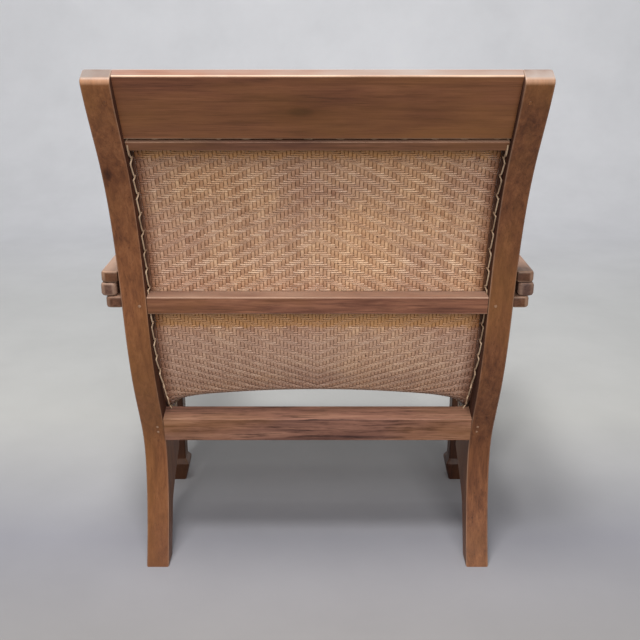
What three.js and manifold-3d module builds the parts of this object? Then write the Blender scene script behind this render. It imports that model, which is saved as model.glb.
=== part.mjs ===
// Planters chair: a low armchair with S-shaped back posts, a woven cane sling hung between crest and front
// rail, and broad arms of three boards, where the middle board swings out on a bolt as a leg rest.
// Millimetres, +Z up. The sitter faces -Y, so the sitter's left hand is at +X.
// The chair stands centred on the origin, on its feet, in the middle of its own box.
import * as THREE from "three";
import { mergeVertices } from "three/addons/utils/BufferGeometryUtils.js";
import Module from "manifold-3d";

const wasm = await Module();
wasm.setup();

// Width across the frame
const FRAME_WIDTH = 680; // over the outer faces of the two back posts
const POST_THICKNESS = 44;
const INNER_FACE = FRAME_WIDTH / 2 - POST_THICKNESS; // from the middle to the posts' inner faces

// Back post in side view, measured back and up from the heel of the rear foot
const KNEE_FORWARD = 56;
const KNEE_HEIGHT = 214;
const WAIST_BACK = 49;
const WAIST_HEIGHT = 548;
const WAIST_LEAN = 8.9; // degrees from upright
const CREST_BACK = 217.6;
const CREST_HEIGHT = 955;
const CREST_LEAN = 26.7;
const SHIN_BELLY_SHARE = 0.6; // where the lower leg's curve turns, of the knee height
const KNEE_HANDLE_SHARE = 0.287; // how far each tangent reaches, of its span of height
const WAIST_LOWER_HANDLE_SHARE = 0.636;
const WAIST_UPPER_HANDLE_SHARE = 0.672;
const CREST_HANDLE_SHARE = 0.337;
const FOOT_DEPTH = 44;
const SHIN_DEPTH = 53; // horizontally, where the front edge starts to swell into the knee
const SHIN_FRONT_HEIGHT = 92;
const POST_TOP_DEPTH = 34;
const POST_TOP_CORNER = 9;
const POST_EDGE = 3; // radius that the post's long edges are eased to

// Line of the cane's edges, parallel to the back of the posts and then along the seat
const CANE_INSET = 31; // from the back of the posts to the middle of the cane
const CANE_BEND_INSET = 9; // more than that where the cane comes down to the seat
const CANE_THICKNESS = 4;
const BACK_MARGIN = 11; // wood left in front of the cane on the posts, above the waist
const SEAT_MARGIN = 15; // and over it on the seat rails
const SEAT_RISE = 13; // degrees that the seat climbs towards the front
const SEAT_BEND_RADIUS = 75; // of the cane where back turns into seat
const SEAT_REACH = 508; // from the heel forward to the front end of the seat line
const SEAT_FRONT_HEIGHT = 391; // of the seat line at its front end
const BELLY = 35; // how far the middle of the cane is drawn off its edges over the bend
const BELLY_HALF_LENGTH = 225; // along the cane
const BELLY_ROUND_SHARE = 0.54; // of the belly, that falls off evenly to the sides; the rest falls at the edges
const BELLY_EDGE_POWER = 24;

// Rails across the frame
const CREST_RAIL_HEIGHT = 114.5;
const CREST_RAIL_THICKNESS = 17;
const CREST_INSET = 11;
const MID_RAIL_STATION = 563;
const MID_RAIL_HEIGHT = 33;
const MID_RAIL_DEPTH = 27;
const MID_RAIL_INSET = 1;
const REAR_RAIL_TOP = 308; // height of its upper back edge
const REAR_RAIL_HEIGHT = 52;
const REAR_RAIL_DEPTH = 43;
const REAR_RAIL_INSET = 2;
const REAR_RAIL_TILT = 12; // degrees
const FRONT_RAIL_HEIGHT = 58;
const FRONT_RAIL_THICKNESS = 30;
const FRONT_RAIL_PROUD = 6; // over the middle of the cane
const RAIL_EDGE = 2.5;

// Seat side rails and the knee that they spring from
const SHOULDER_REACH = 205; // from the heel forward to the shoulder between knee and seat rail
const SEAT_RAIL_THICKNESS = 32;
const SEAT_RAIL_DEPTH = 66;
const SEAT_RAIL_FRONT_DEPTH = 54;
const SEAT_RAIL_NOSE = 12; // past the front rail
const KNEE_FOOT_HEIGHT = 168; // of the knee's lower front corner
// Where the curve from the knee's corner to the shin bends, as shares of its reach and rise
const KNEE_BEND_SHARES = [0.45, 0.6, 0.86, 0.36];

// Battens that clamp the cane at its two ends
const BATTEN_HEIGHT = 17;
const BATTEN_THICKNESS = 17;
const BATTEN_GAP = 4.2; // under the crest rail
const COVER_HEIGHT = 22;
const COVER_THICKNESS = 6;
const CANE_TUCK = 14; // how far the cane runs up in front of the crest rail
const SEAT_BATTEN = 14;

// Lacing along the cane's edges
const LACE_WIDTH = 5.4;
const LACE_HEIGHT = 3.2;

// Arms: arm board, leg rest and runner, from the top down
const ARM_TOP = 624;
const ARM_THICKNESS = 20;
const LEG_REST_THICKNESS = 24;
const SLOT_PLAY = 0.75; // over and under the leg rest
const RUNNER_THICKNESS = 20.5;
const ARM_OVERHANG = 34; // past the posts' outer faces
const ARM_LAP = 10; // past their inner faces
const ARM_FRONT = 600; // from the heel forward
const ARM_EAR_GAP = 5; // between post and the arm board's ear
const ARM_EAR_SHORT = 17; // from the back of the posts forward to the end of the ears
const ARM_EDGE = 4;
const ARM_CORNER = 9;
const ARM_NOSE = 36; // corner radius at the front
const ARM_TRIM = 24; // from there forward to where the boards end before they are cut to the post
const RUNNER_OVERHANG = 28.5;
const RUNNER_LAP = 6;
const RUNNER_SETBACK = 12; // behind the arm board's front end
const SPACER_WIDTH = 15.4;
const LEG_REST_OVERHANG = 36;
const LEG_REST_POST_GAP = 8; // between the leg rest's tail and the post
const LEG_REST_NECK_FRONT = 70; // from the heel forward, where the full width ends
const LEG_REST_NECK_BACK = 2;
const LEG_REST_NECK_CORNER = 25;
const LEG_REST_EDGE = 5;

// Pivot bolt of the leg rest
const BOLT_RADIUS = 5;
const BOLT_HEAD_RADIUS = 12;
const BOLT_HEAD_HEIGHT = 5;
const WASHER_RADIUS = 13;
const WASHER_THICKNESS = 1.6;
const NUT_RADIUS = 9.5; // over its corners
const NUT_HEIGHT = 8;
const NUT_SIDES = 6;
const BOLT_TAIL = 2; // past the nut

// Front legs with block feet
const FRONT_LEG_REACH = 354; // from the heel forward to the leg's back face
const FRONT_LEG_SETOUT = 13; // from the posts' inner faces outward to the leg
const FRONT_LEG_WIDTH = 42;
const FOOT_SOLE_SHARE = 0.93; // half widths of the foot, of the leg's half width
const FOOT_SWELL_SHARE = 1.33;
const FOOT_SWELL_LOW = 38; // heights where the swell begins and ends, and where its slopes meet the leg
const FOOT_SWELL_HIGH = 44;
const FOOT_SLOPE_TOP = 55;
const FOOT_ANKLE = 66;
const LEG_ARRIS = 3;

// Joints
const FIT = 0.3; // gap between pieces that touch
const TENON_LENGTH = 26;
const TENON_THICKNESS = 10;
const TENON_SHOULDER = 9; // wood cut away over and under a tenon
const LEG_TENON = 26;
const LEG_TENON_HEIGHT = 14;
const PEG_RADIUS = 2.6;
const CREST_PEG_RADIUS = 3;
const REAR_PEG_RADIUS = 2.4;
const REAR_PEG_SPACING = 13;
const PEG_FROM_SHOULDER = 13;
const PEG_PROUD = 0.6;
const PEG_PAST_TENON = 6;
const CREST_PEG_DROP = 34;
const LEG_PEG_SPACING = 34;
const CUT_OVERRUN = 10;
const SAME_PLACE = 0.01; // corners nearer than this are one

// How finely curves are divided
const POST_STEPS = 37;
const SHIN_STEPS = 9;
const BEND_STEPS = 12;
const CORNER_STEPS = 5;
const ROUND_STEPS = 20;
const PEG_STEPS = 16;
const CANE_STEPS_ACROSS = 10;
const CANE_STEP = 26; // along the cane
const EDGE_STEPS = 2;

const degrees = THREE.MathUtils.degToRad;
const point = (back, height) => new THREE.Vector2(back, height);
const lerp = THREE.MathUtils.lerp;

// Up along a line that leans back by so many degrees, and the lean of such a line
const leaning = (angle) => point(Math.sin(degrees(angle)), Math.cos(degrees(angle)));
const leanOf = (along) => THREE.MathUtils.radToDeg(Math.atan2(along.x, along.y));

// Materials

function wood(colour) {
  return new THREE.MeshStandardMaterial({ color: colour, roughness: 0.42, metalness: 0 });
}
const postWood = wood(0x7a4a30);
const railWood = wood(0x7d5241);
const armWood = wood(0x8a5a40);
const pegWood = wood(0x5b3526);
const caneMaterial = new THREE.MeshStandardMaterial({ color: 0xae8d68, roughness: 0.6, metalness: 0 });
const laceMaterial = new THREE.MeshStandardMaterial({ color: 0xd9c7a6, roughness: 0.75, metalness: 0 });
const boltMaterial = new THREE.MeshStandardMaterial({ color: 0x8b6b35, roughness: 0.4, metalness: 0.9 });

// Solids

function solidOf(geometry) {
  const bare = geometry.clone();
  bare.deleteAttribute("normal");
  bare.deleteAttribute("uv");
  const merged = mergeVertices(bare);
  return new wasm.Manifold(
    new wasm.Mesh({
      numProp: 3,
      vertProperties: merged.getAttribute("position").array,
      triVerts: new Uint32Array(merged.index.array),
    }),
  );
}

function geometryOf(solid) {
  const mesh = solid.getMesh();
  const geometry = new THREE.BufferGeometry();
  geometry.setAttribute("position", new THREE.BufferAttribute(mesh.vertProperties, 3));
  geometry.setIndex(new THREE.BufferAttribute(mesh.triVerts, 1));
  const faceted = geometry.toNonIndexed();
  faceted.computeVertexNormals();
  return faceted;
}

// A flat outline pushed up by height, with its rim eased to a radius
function slab(outline, height, edge = 0) {
  const geometry = new THREE.ExtrudeGeometry(new THREE.Shape(outline), {
    depth: height - 2 * edge,
    bevelEnabled: edge > 0,
    bevelThickness: edge,
    bevelSize: edge,
    bevelOffset: -edge,
    bevelSegments: EDGE_STEPS,
  });
  geometry.translate(0, 0, edge);
  return geometry;
}

// Turns the side view's back and up into Y and Z, and a slab's height into X
const SIDE_VIEW = new THREE.Matrix4().makeBasis(
  new THREE.Vector3(0, 1, 0),
  new THREE.Vector3(0, 0, 1),
  new THREE.Vector3(1, 0, 0),
);

// A board whose side view is the outline, between two distances from the middle
function sideBoard(outline, from, to, edge = 0) {
  const geometry = slab(outline, to - from, edge);
  geometry.applyMatrix4(SIDE_VIEW);
  geometry.translate(from, 0, 0);
  return solidOf(geometry);
}

// A board whose plan is the outline, between two heights
function planBoard(outline, bottom, top, edge = 0) {
  const geometry = slab(outline, top - bottom, edge);
  geometry.translate(0, 0, bottom);
  return solidOf(geometry);
}

// A bar of round section from a place along a direction
function rod(radius, from, direction, length, steps = PEG_STEPS) {
  const geometry = new THREE.CylinderGeometry(radius, radius, length, steps);
  geometry.translate(0, length / 2, 0);
  const along = direction.clone().normalize();
  geometry.applyQuaternion(new THREE.Quaternion().setFromUnitVectors(new THREE.Vector3(0, 1, 0), along));
  geometry.translate(from.x, from.y, from.z);
  return solidOf(geometry);
}

// Outlines

const onCircle = (centre, radius, angle) =>
  point(centre.x + radius * Math.cos(angle), centre.y + radius * Math.sin(angle));

// The corners of an outline, each rounded to its own radius
function rounded(corners) {
  const outline = [];
  corners.forEach(([corner, radius], i) => {
    const before = corners[(i + corners.length - 1) % corners.length][0];
    const after = corners[(i + 1) % corners.length][0];
    if (!radius) {
      outline.push(corner.clone());
      return;
    }
    const back = before.clone().sub(corner).normalize();
    const on = after.clone().sub(corner).normalize();
    const half = Math.acos(THREE.MathUtils.clamp(back.dot(on), -1, 1)) / 2;
    const reach = radius / Math.tan(half);
    const from = corner.clone().addScaledVector(back, reach);
    const to = corner.clone().addScaledVector(on, reach);
    const centre = corner.clone().addScaledVector(back.clone().add(on).normalize(), radius / Math.sin(half));
    const start = from.clone().sub(centre).angle();
    let turn = to.clone().sub(centre).angle() - start;
    if (turn > Math.PI) turn -= 2 * Math.PI;
    if (turn < -Math.PI) turn += 2 * Math.PI;
    for (let step = 0; step <= CORNER_STEPS; step++) {
      const angle = start + (turn * step) / CORNER_STEPS;
      outline.push(onCircle(centre, radius, angle));
    }
  });
  return outline.filter((place, i) => place.distanceTo(outline[(i + 1) % outline.length]) > SAME_PLACE);
}

// A rectangle in side view: from its upper back corner forward by depth and down by height, leaning back
function leaningBox(corner, lean, depth, height) {
  const up = leaning(lean);
  const forward = point(-up.y, up.x);
  const a = corner.clone();
  const b = a.clone().addScaledVector(forward, depth);
  const c = b.clone().addScaledVector(up, -height);
  const d = a.clone().addScaledVector(up, -height);
  return [a, b, c, d];
}

// The line moved sideways, to the left of its direction
function besideLine(line, distance) {
  return line.map((place, i) => {
    const before = line[Math.max(i - 1, 0)];
    const after = line[Math.min(i + 1, line.length - 1)];
    const along = after.clone().sub(before).normalize();
    return point(place.x - along.y * distance, place.y + along.x * distance);
  });
}

// The place on a line that rises all the way, at a height
function atHeight(line, height) {
  const i = Math.max(1, line.findIndex((place) => place.y >= height));
  const [low, high] = [line[i - 1], line[i]];
  return low.clone().lerp(high, (height - low.y) / (high.y - low.y));
}

// The place so far down such a line from its top end
function alongFrom(line, top, distance) {
  const upTo = [...line.filter((place) => place.y < top.y), top];
  const i = upTo.findLastIndex((place) => place.distanceTo(top) >= distance);
  const [low, high] = [upTo[i], upTo[i + 1]];
  const [far, near] = [low.distanceTo(top), high.distanceTo(top)];
  return high.clone().lerp(low, (distance - near) / (far - near));
}

// The way that such a line runs at a height
function directionAt(line, height) {
  const i = Math.max(1, line.findIndex((place) => place.y >= height));
  return line[i].clone().sub(line[i - 1]).normalize();
}

// Back edge of the post, from heel to crest

const heel = point(0, 0);
const knee = point(-KNEE_FORWARD, KNEE_HEIGHT);
const waist = point(WAIST_BACK, WAIST_HEIGHT);
const crest = point(CREST_BACK, CREST_HEIGHT);
const lowerSpan = WAIST_HEIGHT - KNEE_HEIGHT;
const upperSpan = CREST_HEIGHT - WAIST_HEIGHT;
const shinBelly = point(-KNEE_FORWARD, KNEE_HEIGHT * SHIN_BELLY_SHARE);
const shinCurve = new THREE.QuadraticBezierCurve(heel, shinBelly, knee);
const lowerCurve = new THREE.CubicBezierCurve(
  knee,
  point(knee.x, knee.y + lowerSpan * KNEE_HANDLE_SHARE),
  waist.clone().addScaledVector(leaning(WAIST_LEAN), -lowerSpan * WAIST_LOWER_HANDLE_SHARE),
  waist,
);
const upperCurve = new THREE.CubicBezierCurve(
  waist,
  waist.clone().addScaledVector(leaning(WAIST_LEAN), upperSpan * WAIST_UPPER_HANDLE_SHARE),
  crest.clone().addScaledVector(leaning(CREST_LEAN), -upperSpan * CREST_HANDLE_SHARE),
  crest,
);
const shinLine = shinCurve.getPoints(SHIN_STEPS);
const lowerSteps = Math.round((POST_STEPS * lowerSpan) / (lowerSpan + upperSpan));
const backLine = [
  ...lowerCurve.getSpacedPoints(lowerSteps),
  ...upperCurve.getSpacedPoints(POST_STEPS - lowerSteps).slice(1),
];
const rearEdge = [...shinLine.slice(0, -1), ...backLine.slice(0, -1), crest];

// Edge line of the cane, from the front of the seat back round the bend and up to the crest

const seatUp = point(-Math.cos(degrees(SEAT_RISE)), Math.sin(degrees(SEAT_RISE))); // forward along the seat
const seatNormal = point(seatUp.y, -seatUp.x); // off the seat, towards the sitter
const seatEnd = point(-SEAT_REACH, SEAT_FRONT_HEIGHT);
const caneTopDrop = crest.y - alongFrom(rearEdge, crest, CREST_RAIL_HEIGHT - CANE_TUCK).y;
const caneTopHeight = CREST_HEIGHT - caneTopDrop + CANE_INSET * leaning(CREST_LEAN).x;

// How far the circle of the bend, laid against the back at a place, stays off the seat line
function bendMiss(place, toSitter) {
  const centre = place.clone().addScaledVector(toSitter, SEAT_BEND_RADIUS);
  return { centre, miss: centre.clone().sub(seatEnd).dot(seatNormal) - SEAT_BEND_RADIUS };
}

function makeCaneLine() {
  const insets = backLine.map((place) => {
    const share = THREE.MathUtils.smoothstep(place.y, REAR_RAIL_TOP, WAIST_HEIGHT);
    return CANE_INSET + CANE_BEND_INSET * (1 - share);
  });
  const back = backLine.map((place, i) => besideLine(backLine, insets[i])[i]).reverse();
  const line = [];
  let bend = null;
  for (let i = 1; i < back.length && !bend; i++) {
    const along = back[i].clone().sub(back[i - 1]).normalize();
    const toSitter = point(along.y, -along.x);
    const first = bendMiss(back[i - 1], toSitter);
    const second = bendMiss(back[i], toSitter);
    if (second.miss > 0) continue;
    const share = first.miss / (first.miss - second.miss);
    const centre = first.centre.clone().lerp(second.centre, THREE.MathUtils.clamp(share, 0, 1));
    bend = { centre, upto: i, start: toSitter.clone().negate() };
  }
  const bendStart = bend.centre.clone().addScaledVector(bend.start, SEAT_BEND_RADIUS);
  const top = atHeight([...back].reverse(), caneTopHeight);
  const between = back.slice(0, bend.upto).filter((place) => {
    return place.y < caneTopHeight - CANE_STEP / 2 && place.distanceTo(bendStart) > CANE_STEP / 3;
  });
  line.push(top, ...between);
  const startAngle = bend.start.angle() - 2 * Math.PI;
  const endAngle = seatNormal.clone().negate().angle() - 2 * Math.PI;
  for (let step = 0; step <= BEND_STEPS; step++) {
    const angle = lerp(startAngle, endAngle, step / BEND_STEPS);
    line.push(onCircle(bend.centre, SEAT_BEND_RADIUS, angle));
  }
  const bendEnd = line[line.length - 1];
  const seatLength = bendEnd.distanceTo(seatEnd);
  const steps = Math.round(seatLength / CANE_STEP);
  for (let step = 1; step <= steps; step++) line.push(bendEnd.clone().lerp(seatEnd, step / steps));
  return line.reverse();
}
const caneLine = makeCaneLine();

// Edge of post and seat rail on the sitter's side
function frameMargin(place) {
  const share = THREE.MathUtils.smoothstep(place.y, KNEE_HEIGHT, WAIST_HEIGHT);
  return lerp(SEAT_MARGIN, BACK_MARGIN, place.x < knee.x ? 0 : share);
}
const frameLine = caneLine.map((place, i) => besideLine(caneLine, frameMargin(place))[i]);

// The place on the seat part of a line so far forward of the heel
function atReach(line, reach) {
  const i = line.findIndex((place) => place.x >= -reach);
  const [ahead, behind] = [line[i - 1], line[i]];
  return ahead.clone().lerp(behind, (-reach - ahead.x) / (behind.x - ahead.x));
}

const crestNormal = point(-leaning(CREST_LEAN).y, leaning(CREST_LEAN).x); // forward, square to the crest
const shoulderTop = atReach(frameLine, SHOULDER_REACH);
const frameSeatEnd = frameLine[0];

// Pieces in side view

// Post, knee and lower leg are one sawn plank
function postOutline() {
  const topFront = crest.clone().addScaledVector(crestNormal, POST_TOP_DEPTH);
  const front = frameLine.filter((place) => place.x > -SHOULDER_REACH + FIT).reverse();
  const kneeCorner = point(-SHOULDER_REACH, KNEE_FOOT_HEIGHT);
  const shinFront = point(atHeight(rearEdge, SHIN_FRONT_HEIGHT).x - SHIN_DEPTH, SHIN_FRONT_HEIGHT);
  const reach = shinFront.x - kneeCorner.x;
  const rise = kneeCorner.y - shinFront.y;
  const [firstReach, firstRise, secondReach, secondRise] = KNEE_BEND_SHARES;
  const kneeCurve = new THREE.CubicBezierCurve(
    kneeCorner,
    point(kneeCorner.x + reach * firstReach, kneeCorner.y - rise * (1 - firstRise)),
    point(kneeCorner.x + reach * secondReach, shinFront.y + rise * secondRise),
    shinFront,
  );
  const outline = [...rearEdge, topFront, ...front, shoulderTop];
  outline.push(...kneeCurve.getPoints(SHIN_STEPS), point(-FOOT_DEPTH, 0));
  const radiusAt = (corner) => (corner === crest || corner === topFront ? POST_TOP_CORNER : 0);
  return rounded(outline.map((corner) => [corner, radiusAt(corner)]));
}

// Section of a rail set into the posts at a height of their back edge
function stationBox(height, inset, depth, tall) {
  const along = directionAt(rearEdge, height);
  const forward = point(-along.y, along.x);
  const corner = atHeight(rearEdge, height)
    .addScaledVector(forward, inset)
    .addScaledVector(along, tall / 2);
  return leaningBox(corner, leanOf(along), depth, tall);
}

const crestRailFoot = alongFrom(rearEdge, crest, CREST_RAIL_HEIGHT);
const crestBox = leaningBox(
  crest.clone().addScaledVector(crestNormal, CREST_INSET),
  leanOf(crest.clone().sub(crestRailFoot)),
  CREST_RAIL_THICKNESS,
  CREST_RAIL_HEIGHT,
);
const midRailBox = stationBox(MID_RAIL_STATION, MID_RAIL_INSET, MID_RAIL_DEPTH, MID_RAIL_HEIGHT);
const rearRailBox = leaningBox(
  point(atHeight(rearEdge, REAR_RAIL_TOP).x - REAR_RAIL_INSET, REAR_RAIL_TOP),
  REAR_RAIL_TILT,
  REAR_RAIL_DEPTH,
  REAR_RAIL_HEIGHT,
);
const frontRailCorner = seatEnd
  .clone()
  .addScaledVector(seatUp, -FRONT_RAIL_THICKNESS)
  .addScaledVector(seatNormal, FRONT_RAIL_PROUD);
const frontRailBox = leaningBox(frontRailCorner, SEAT_RISE, FRONT_RAIL_THICKNESS, FRONT_RAIL_HEIGHT);

// The same rectangle with each side moved in, or out where the distance is negative
function insetBox([a, b, c, d], sides, ends) {
  const forward = b.clone().sub(a).normalize();
  const down = d.clone().sub(a).normalize();
  const moved = (corner, alongForward, alongDown) =>
    corner.clone().addScaledVector(forward, alongForward).addScaledVector(down, alongDown);
  return [moved(a, sides, ends), moved(b, -sides, ends), moved(c, -sides, -ends), moved(d, sides, -ends)];
}

// Tenon section of a rail, and the mortise that takes it
function tenonBox(box) {
  const depth = box[0].distanceTo(box[1]);
  return insetBox(box, (depth - TENON_THICKNESS) / 2, TENON_SHOULDER);
}
function mortiseBox(box) {
  return insetBox(tenonBox(box), -FIT, -FIT);
}

const roundedBox = (box, radius) => rounded(box.map((corner) => [corner, radius]));

// A rail from post to post with a tenon at each end
function crossRail(box, halfLength = INNER_FACE - FIT) {
  const body = sideBoard(roundedBox(box, RAIL_EDGE), -halfLength, halfLength);
  const tenons = sideBoard(tenonBox(box), -halfLength - TENON_LENGTH, halfLength + TENON_LENGTH);
  return body.add(tenons);
}

// The hole for its tenon in the piece on the sitter's left
function crossMortise(box, halfLength = INNER_FACE - FIT) {
  return sideBoard(mortiseBox(box), halfLength - CUT_OVERRUN, halfLength + TENON_LENGTH + FIT);
}

// Seat side rail, from the knee's shoulder to a rounded nose
const seatRailRear = shoulderTop.clone().addScaledVector(seatUp, FIT);
const seatRailNose = frameSeatEnd.clone().addScaledVector(seatUp, SEAT_RAIL_NOSE);
function seatRailOutline() {
  const noseFoot = seatRailNose.clone().addScaledVector(seatNormal, -SEAT_RAIL_FRONT_DEPTH);
  const rearFoot = point(seatRailRear.x, seatRailRear.y - SEAT_RAIL_DEPTH);
  return rounded([
    [seatRailRear, 0],
    [seatRailNose, SEAT_RAIL_NOSE],
    [noseFoot, SEAT_RAIL_NOSE],
    [rearFoot, 0],
  ]);
}
const seatRailTenonBox = [
  point(seatRailRear.x + TENON_LENGTH, seatRailRear.y - TENON_SHOULDER),
  point(seatRailRear.x - CUT_OVERRUN, seatRailRear.y - TENON_SHOULDER),
  point(seatRailRear.x - CUT_OVERRUN, seatRailRear.y - SEAT_RAIL_DEPTH + 2 * TENON_SHOULDER),
  point(seatRailRear.x + TENON_LENGTH, seatRailRear.y - SEAT_RAIL_DEPTH + 2 * TENON_SHOULDER),
];
const seatTenonInner = INNER_FACE + (SEAT_RAIL_THICKNESS - TENON_THICKNESS) / 2;

// Pegs driven forward through post and tenon, square to the back of the post
function backPeg(railBox, height, radius, gap = 0) {
  const along = directionAt(rearEdge, height);
  const forward = point(-along.y, along.x);
  const place = atHeight(rearEdge, height);
  const [, tenonTop, tenonFoot] = tenonBox(railBox);
  const face = tenonFoot.clone().sub(tenonTop);
  const throughTenon = tenonTop.clone().sub(place).cross(face) / forward.cross(face);
  const into = new THREE.Vector3(0, forward.x, forward.y);
  const from = new THREE.Vector3(INNER_FACE + PEG_FROM_SHOULDER, place.x, place.y);
  from.addScaledVector(into, -PEG_PROUD - (gap ? CUT_OVERRUN : 0));
  const length = PEG_PROUD + throughTenon + PEG_PAST_TENON;
  const total = length + (gap ? CUT_OVERRUN + gap : 0);
  return rod(radius + gap, from, into, total);
}
const crestPegHeight = CREST_HEIGHT - CREST_PEG_DROP;
const rearPegMiddle = REAR_RAIL_TOP - REAR_RAIL_HEIGHT / 2;
const CREST_PEG = [crestBox, crestPegHeight, CREST_PEG_RADIUS];
const MID_PEG = [midRailBox, MID_RAIL_STATION, PEG_RADIUS];
const REAR_PEG_LOWER = [rearRailBox, rearPegMiddle - REAR_PEG_SPACING / 2, REAR_PEG_RADIUS];
const REAR_PEG_UPPER = [rearRailBox, rearPegMiddle + REAR_PEG_SPACING / 2, REAR_PEG_RADIUS];
const BACK_PEGS = [CREST_PEG, MID_PEG, REAR_PEG_LOWER, REAR_PEG_UPPER];

// Pegs driven sideways from the outside, at places in side view
function sidePeg(place, from, to, radius, gap = 0) {
  const start = new THREE.Vector3(from - gap, place.x, place.y);
  const reach = to - from + gap + (gap ? CUT_OVERRUN : 0);
  return rod(radius + gap, start, new THREE.Vector3(1, 0, 0), reach);
}
const shoulderPegPlace = point(seatRailRear.x + TENON_LENGTH / 2, seatRailRear.y - SEAT_RAIL_DEPTH / 2);
const shoulderPegFrom = INNER_FACE + FIT;
const legMiddle = -FRONT_LEG_REACH - FRONT_LEG_WIDTH / 2;
const legInner = INNER_FACE + FRONT_LEG_SETOUT;
const legCentre = legInner + FRONT_LEG_WIDTH / 2;
const railMiddleAtLeg = atReach(frameLine, -legMiddle).y - SEAT_RAIL_DEPTH / 2;
const legPegShares = [-0.5, 0.5];
const legPegHeights = legPegShares.map((share) => railMiddleAtLeg + share * LEG_PEG_SPACING);
const legPegPlaces = legPegHeights.map((height) => point(legMiddle, height));

// Edges of the arm's boards, from the middle of the chair
const outerFace = FRAME_WIDTH / 2;
const armInner = INNER_FACE - ARM_LAP;
const armOuter = outerFace + ARM_OVERHANG;
const runnerInner = INNER_FACE - RUNNER_LAP;
const runnerOuter = outerFace + RUNNER_OVERHANG;
const runnerFront = ARM_FRONT - RUNNER_SETBACK;
const spacerOuter = runnerInner + SPACER_WIDTH;
const restInner = spacerOuter + 2 * FIT;
const restOuter = outerFace + LEG_REST_OVERHANG;

// Where the boards end, from the heel back
const postBack = atHeight(rearEdge, ARM_TOP).x;
const earBack = postBack - ARM_EAR_SHORT;
const trimBack = postBack - ARM_TRIM;

// Heights of the arm's boards
const armBottom = ARM_TOP - ARM_THICKNESS;
const slotBottom = armBottom - LEG_REST_THICKNESS - 2 * SLOT_PLAY;
const runnerBottom = slotBottom - RUNNER_THICKNESS;

// Pivot of the leg rest
const restHalfWidth = (restOuter - restInner) / 2;
const pivot = new THREE.Vector3(restInner + restHalfWidth, -ARM_FRONT + restHalfWidth + ARM_CORNER, 0);
const washerTop = runnerBottom - FIT;
const nutTop = washerTop - WASHER_THICKNESS - FIT;
const boltEnd = nutTop - NUT_HEIGHT - BOLT_TAIL;

// An outline opened by the gap all round
function grownOutline(outline) {
  return besideLine([...outline, outline[0]], -FIT).slice(0, -1);
}

// The cut that the post's plank makes in the boards round it
function postClearance(from, to) {
  return sideBoard(grownOutline(postOutline()), from, to);
}

// Pieces on the sitter's left, at their places; the right hand ones are their mirror image

function backPost() {
  let post = sideBoard(postOutline(), INNER_FACE, outerFace, POST_EDGE);
  for (const box of [crestBox, midRailBox, rearRailBox]) post = post.subtract(crossMortise(box));
  for (const peg of BACK_PEGS) post = post.subtract(backPeg(...peg, FIT));
  const mortise = insetBox(seatRailTenonBox, -FIT, -FIT);
  post = post.subtract(sideBoard(mortise, seatTenonInner - FIT, seatTenonInner + TENON_THICKNESS + FIT));
  return post.subtract(sidePeg(shoulderPegPlace, shoulderPegFrom, outerFace, PEG_RADIUS, FIT));
}

function seatRail() {
  let rail = sideBoard(seatRailOutline(), INNER_FACE, INNER_FACE + SEAT_RAIL_THICKNESS, RAIL_EDGE);
  rail = rail.add(sideBoard(seatRailTenonBox, seatTenonInner, seatTenonInner + TENON_THICKNESS));
  rail = rail.subtract(crossMortise(frontRailBox));
  rail = rail.subtract(sidePeg(shoulderPegPlace, shoulderPegFrom, outerFace, PEG_RADIUS, FIT));
  for (const place of legPegPlaces) rail = rail.subtract(legPeg(place, FIT));
  return rail;
}

function legPeg(place, gap = 0) {
  const from = INNER_FACE + SEAT_RAIL_THICKNESS / 2;
  return sidePeg(place, from, legInner + FRONT_LEG_WIDTH + PEG_PROUD, PEG_RADIUS, gap);
}

// Rings of a square bar with eased corners, from the sole up
function legRings() {
  const half = FRONT_LEG_WIDTH / 2;
  const stations = [
    [0, FOOT_SOLE_SHARE],
    [FOOT_SWELL_LOW, FOOT_SWELL_SHARE],
    [FOOT_SWELL_HIGH, FOOT_SWELL_SHARE],
    [FOOT_SLOPE_TOP, 1],
    [FOOT_ANKLE, 1],
    [runnerBottom - FIT, 1],
  ];
  return stations.map(([height, share]) => {
    const width = half * share;
    const flat = width - LEG_ARRIS;
    const side = [[flat, -width], [width, -flat], [width, flat], [flat, width]];
    const otherSide = side.map(([x, y]) => [-x, -y]);
    return [...side, ...otherSide].map(([x, y]) => new THREE.Vector3(x, y, height));
  });
}

// A closed skin through rings of equally many points
function loft(rings) {
  const positions = rings.flat().flatMap((place) => [place.x, place.y, place.z]);
  const count = rings[0].length;
  const index = [];
  for (let level = 0; level < rings.length - 1; level++) {
    for (let i = 0; i < count; i++) {
      const [a, b] = [level * count + i, level * count + ((i + 1) % count)];
      index.push(a, b, b + count, a, b + count, a + count);
    }
  }
  const top = (rings.length - 1) * count;
  for (let i = 1; i < count - 1; i++) {
    index.push(0, i + 1, i);
    index.push(top, top + i, top + i + 1);
  }
  const geometry = new THREE.BufferGeometry();
  geometry.setAttribute("position", new THREE.Float32BufferAttribute(positions, 3));
  geometry.setIndex(index);
  return geometry;
}

// Square block of a size standing on a height, for the leg's tenon and its mortise
function squareBlock(width, bottom, top) {
  const half = width / 2;
  const corners = [[-half, -half], [half, -half], [half, half], [-half, half]];
  return planBoard(corners.map(([x, y]) => point(legCentre + x, legMiddle + y)), bottom, top);
}

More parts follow.
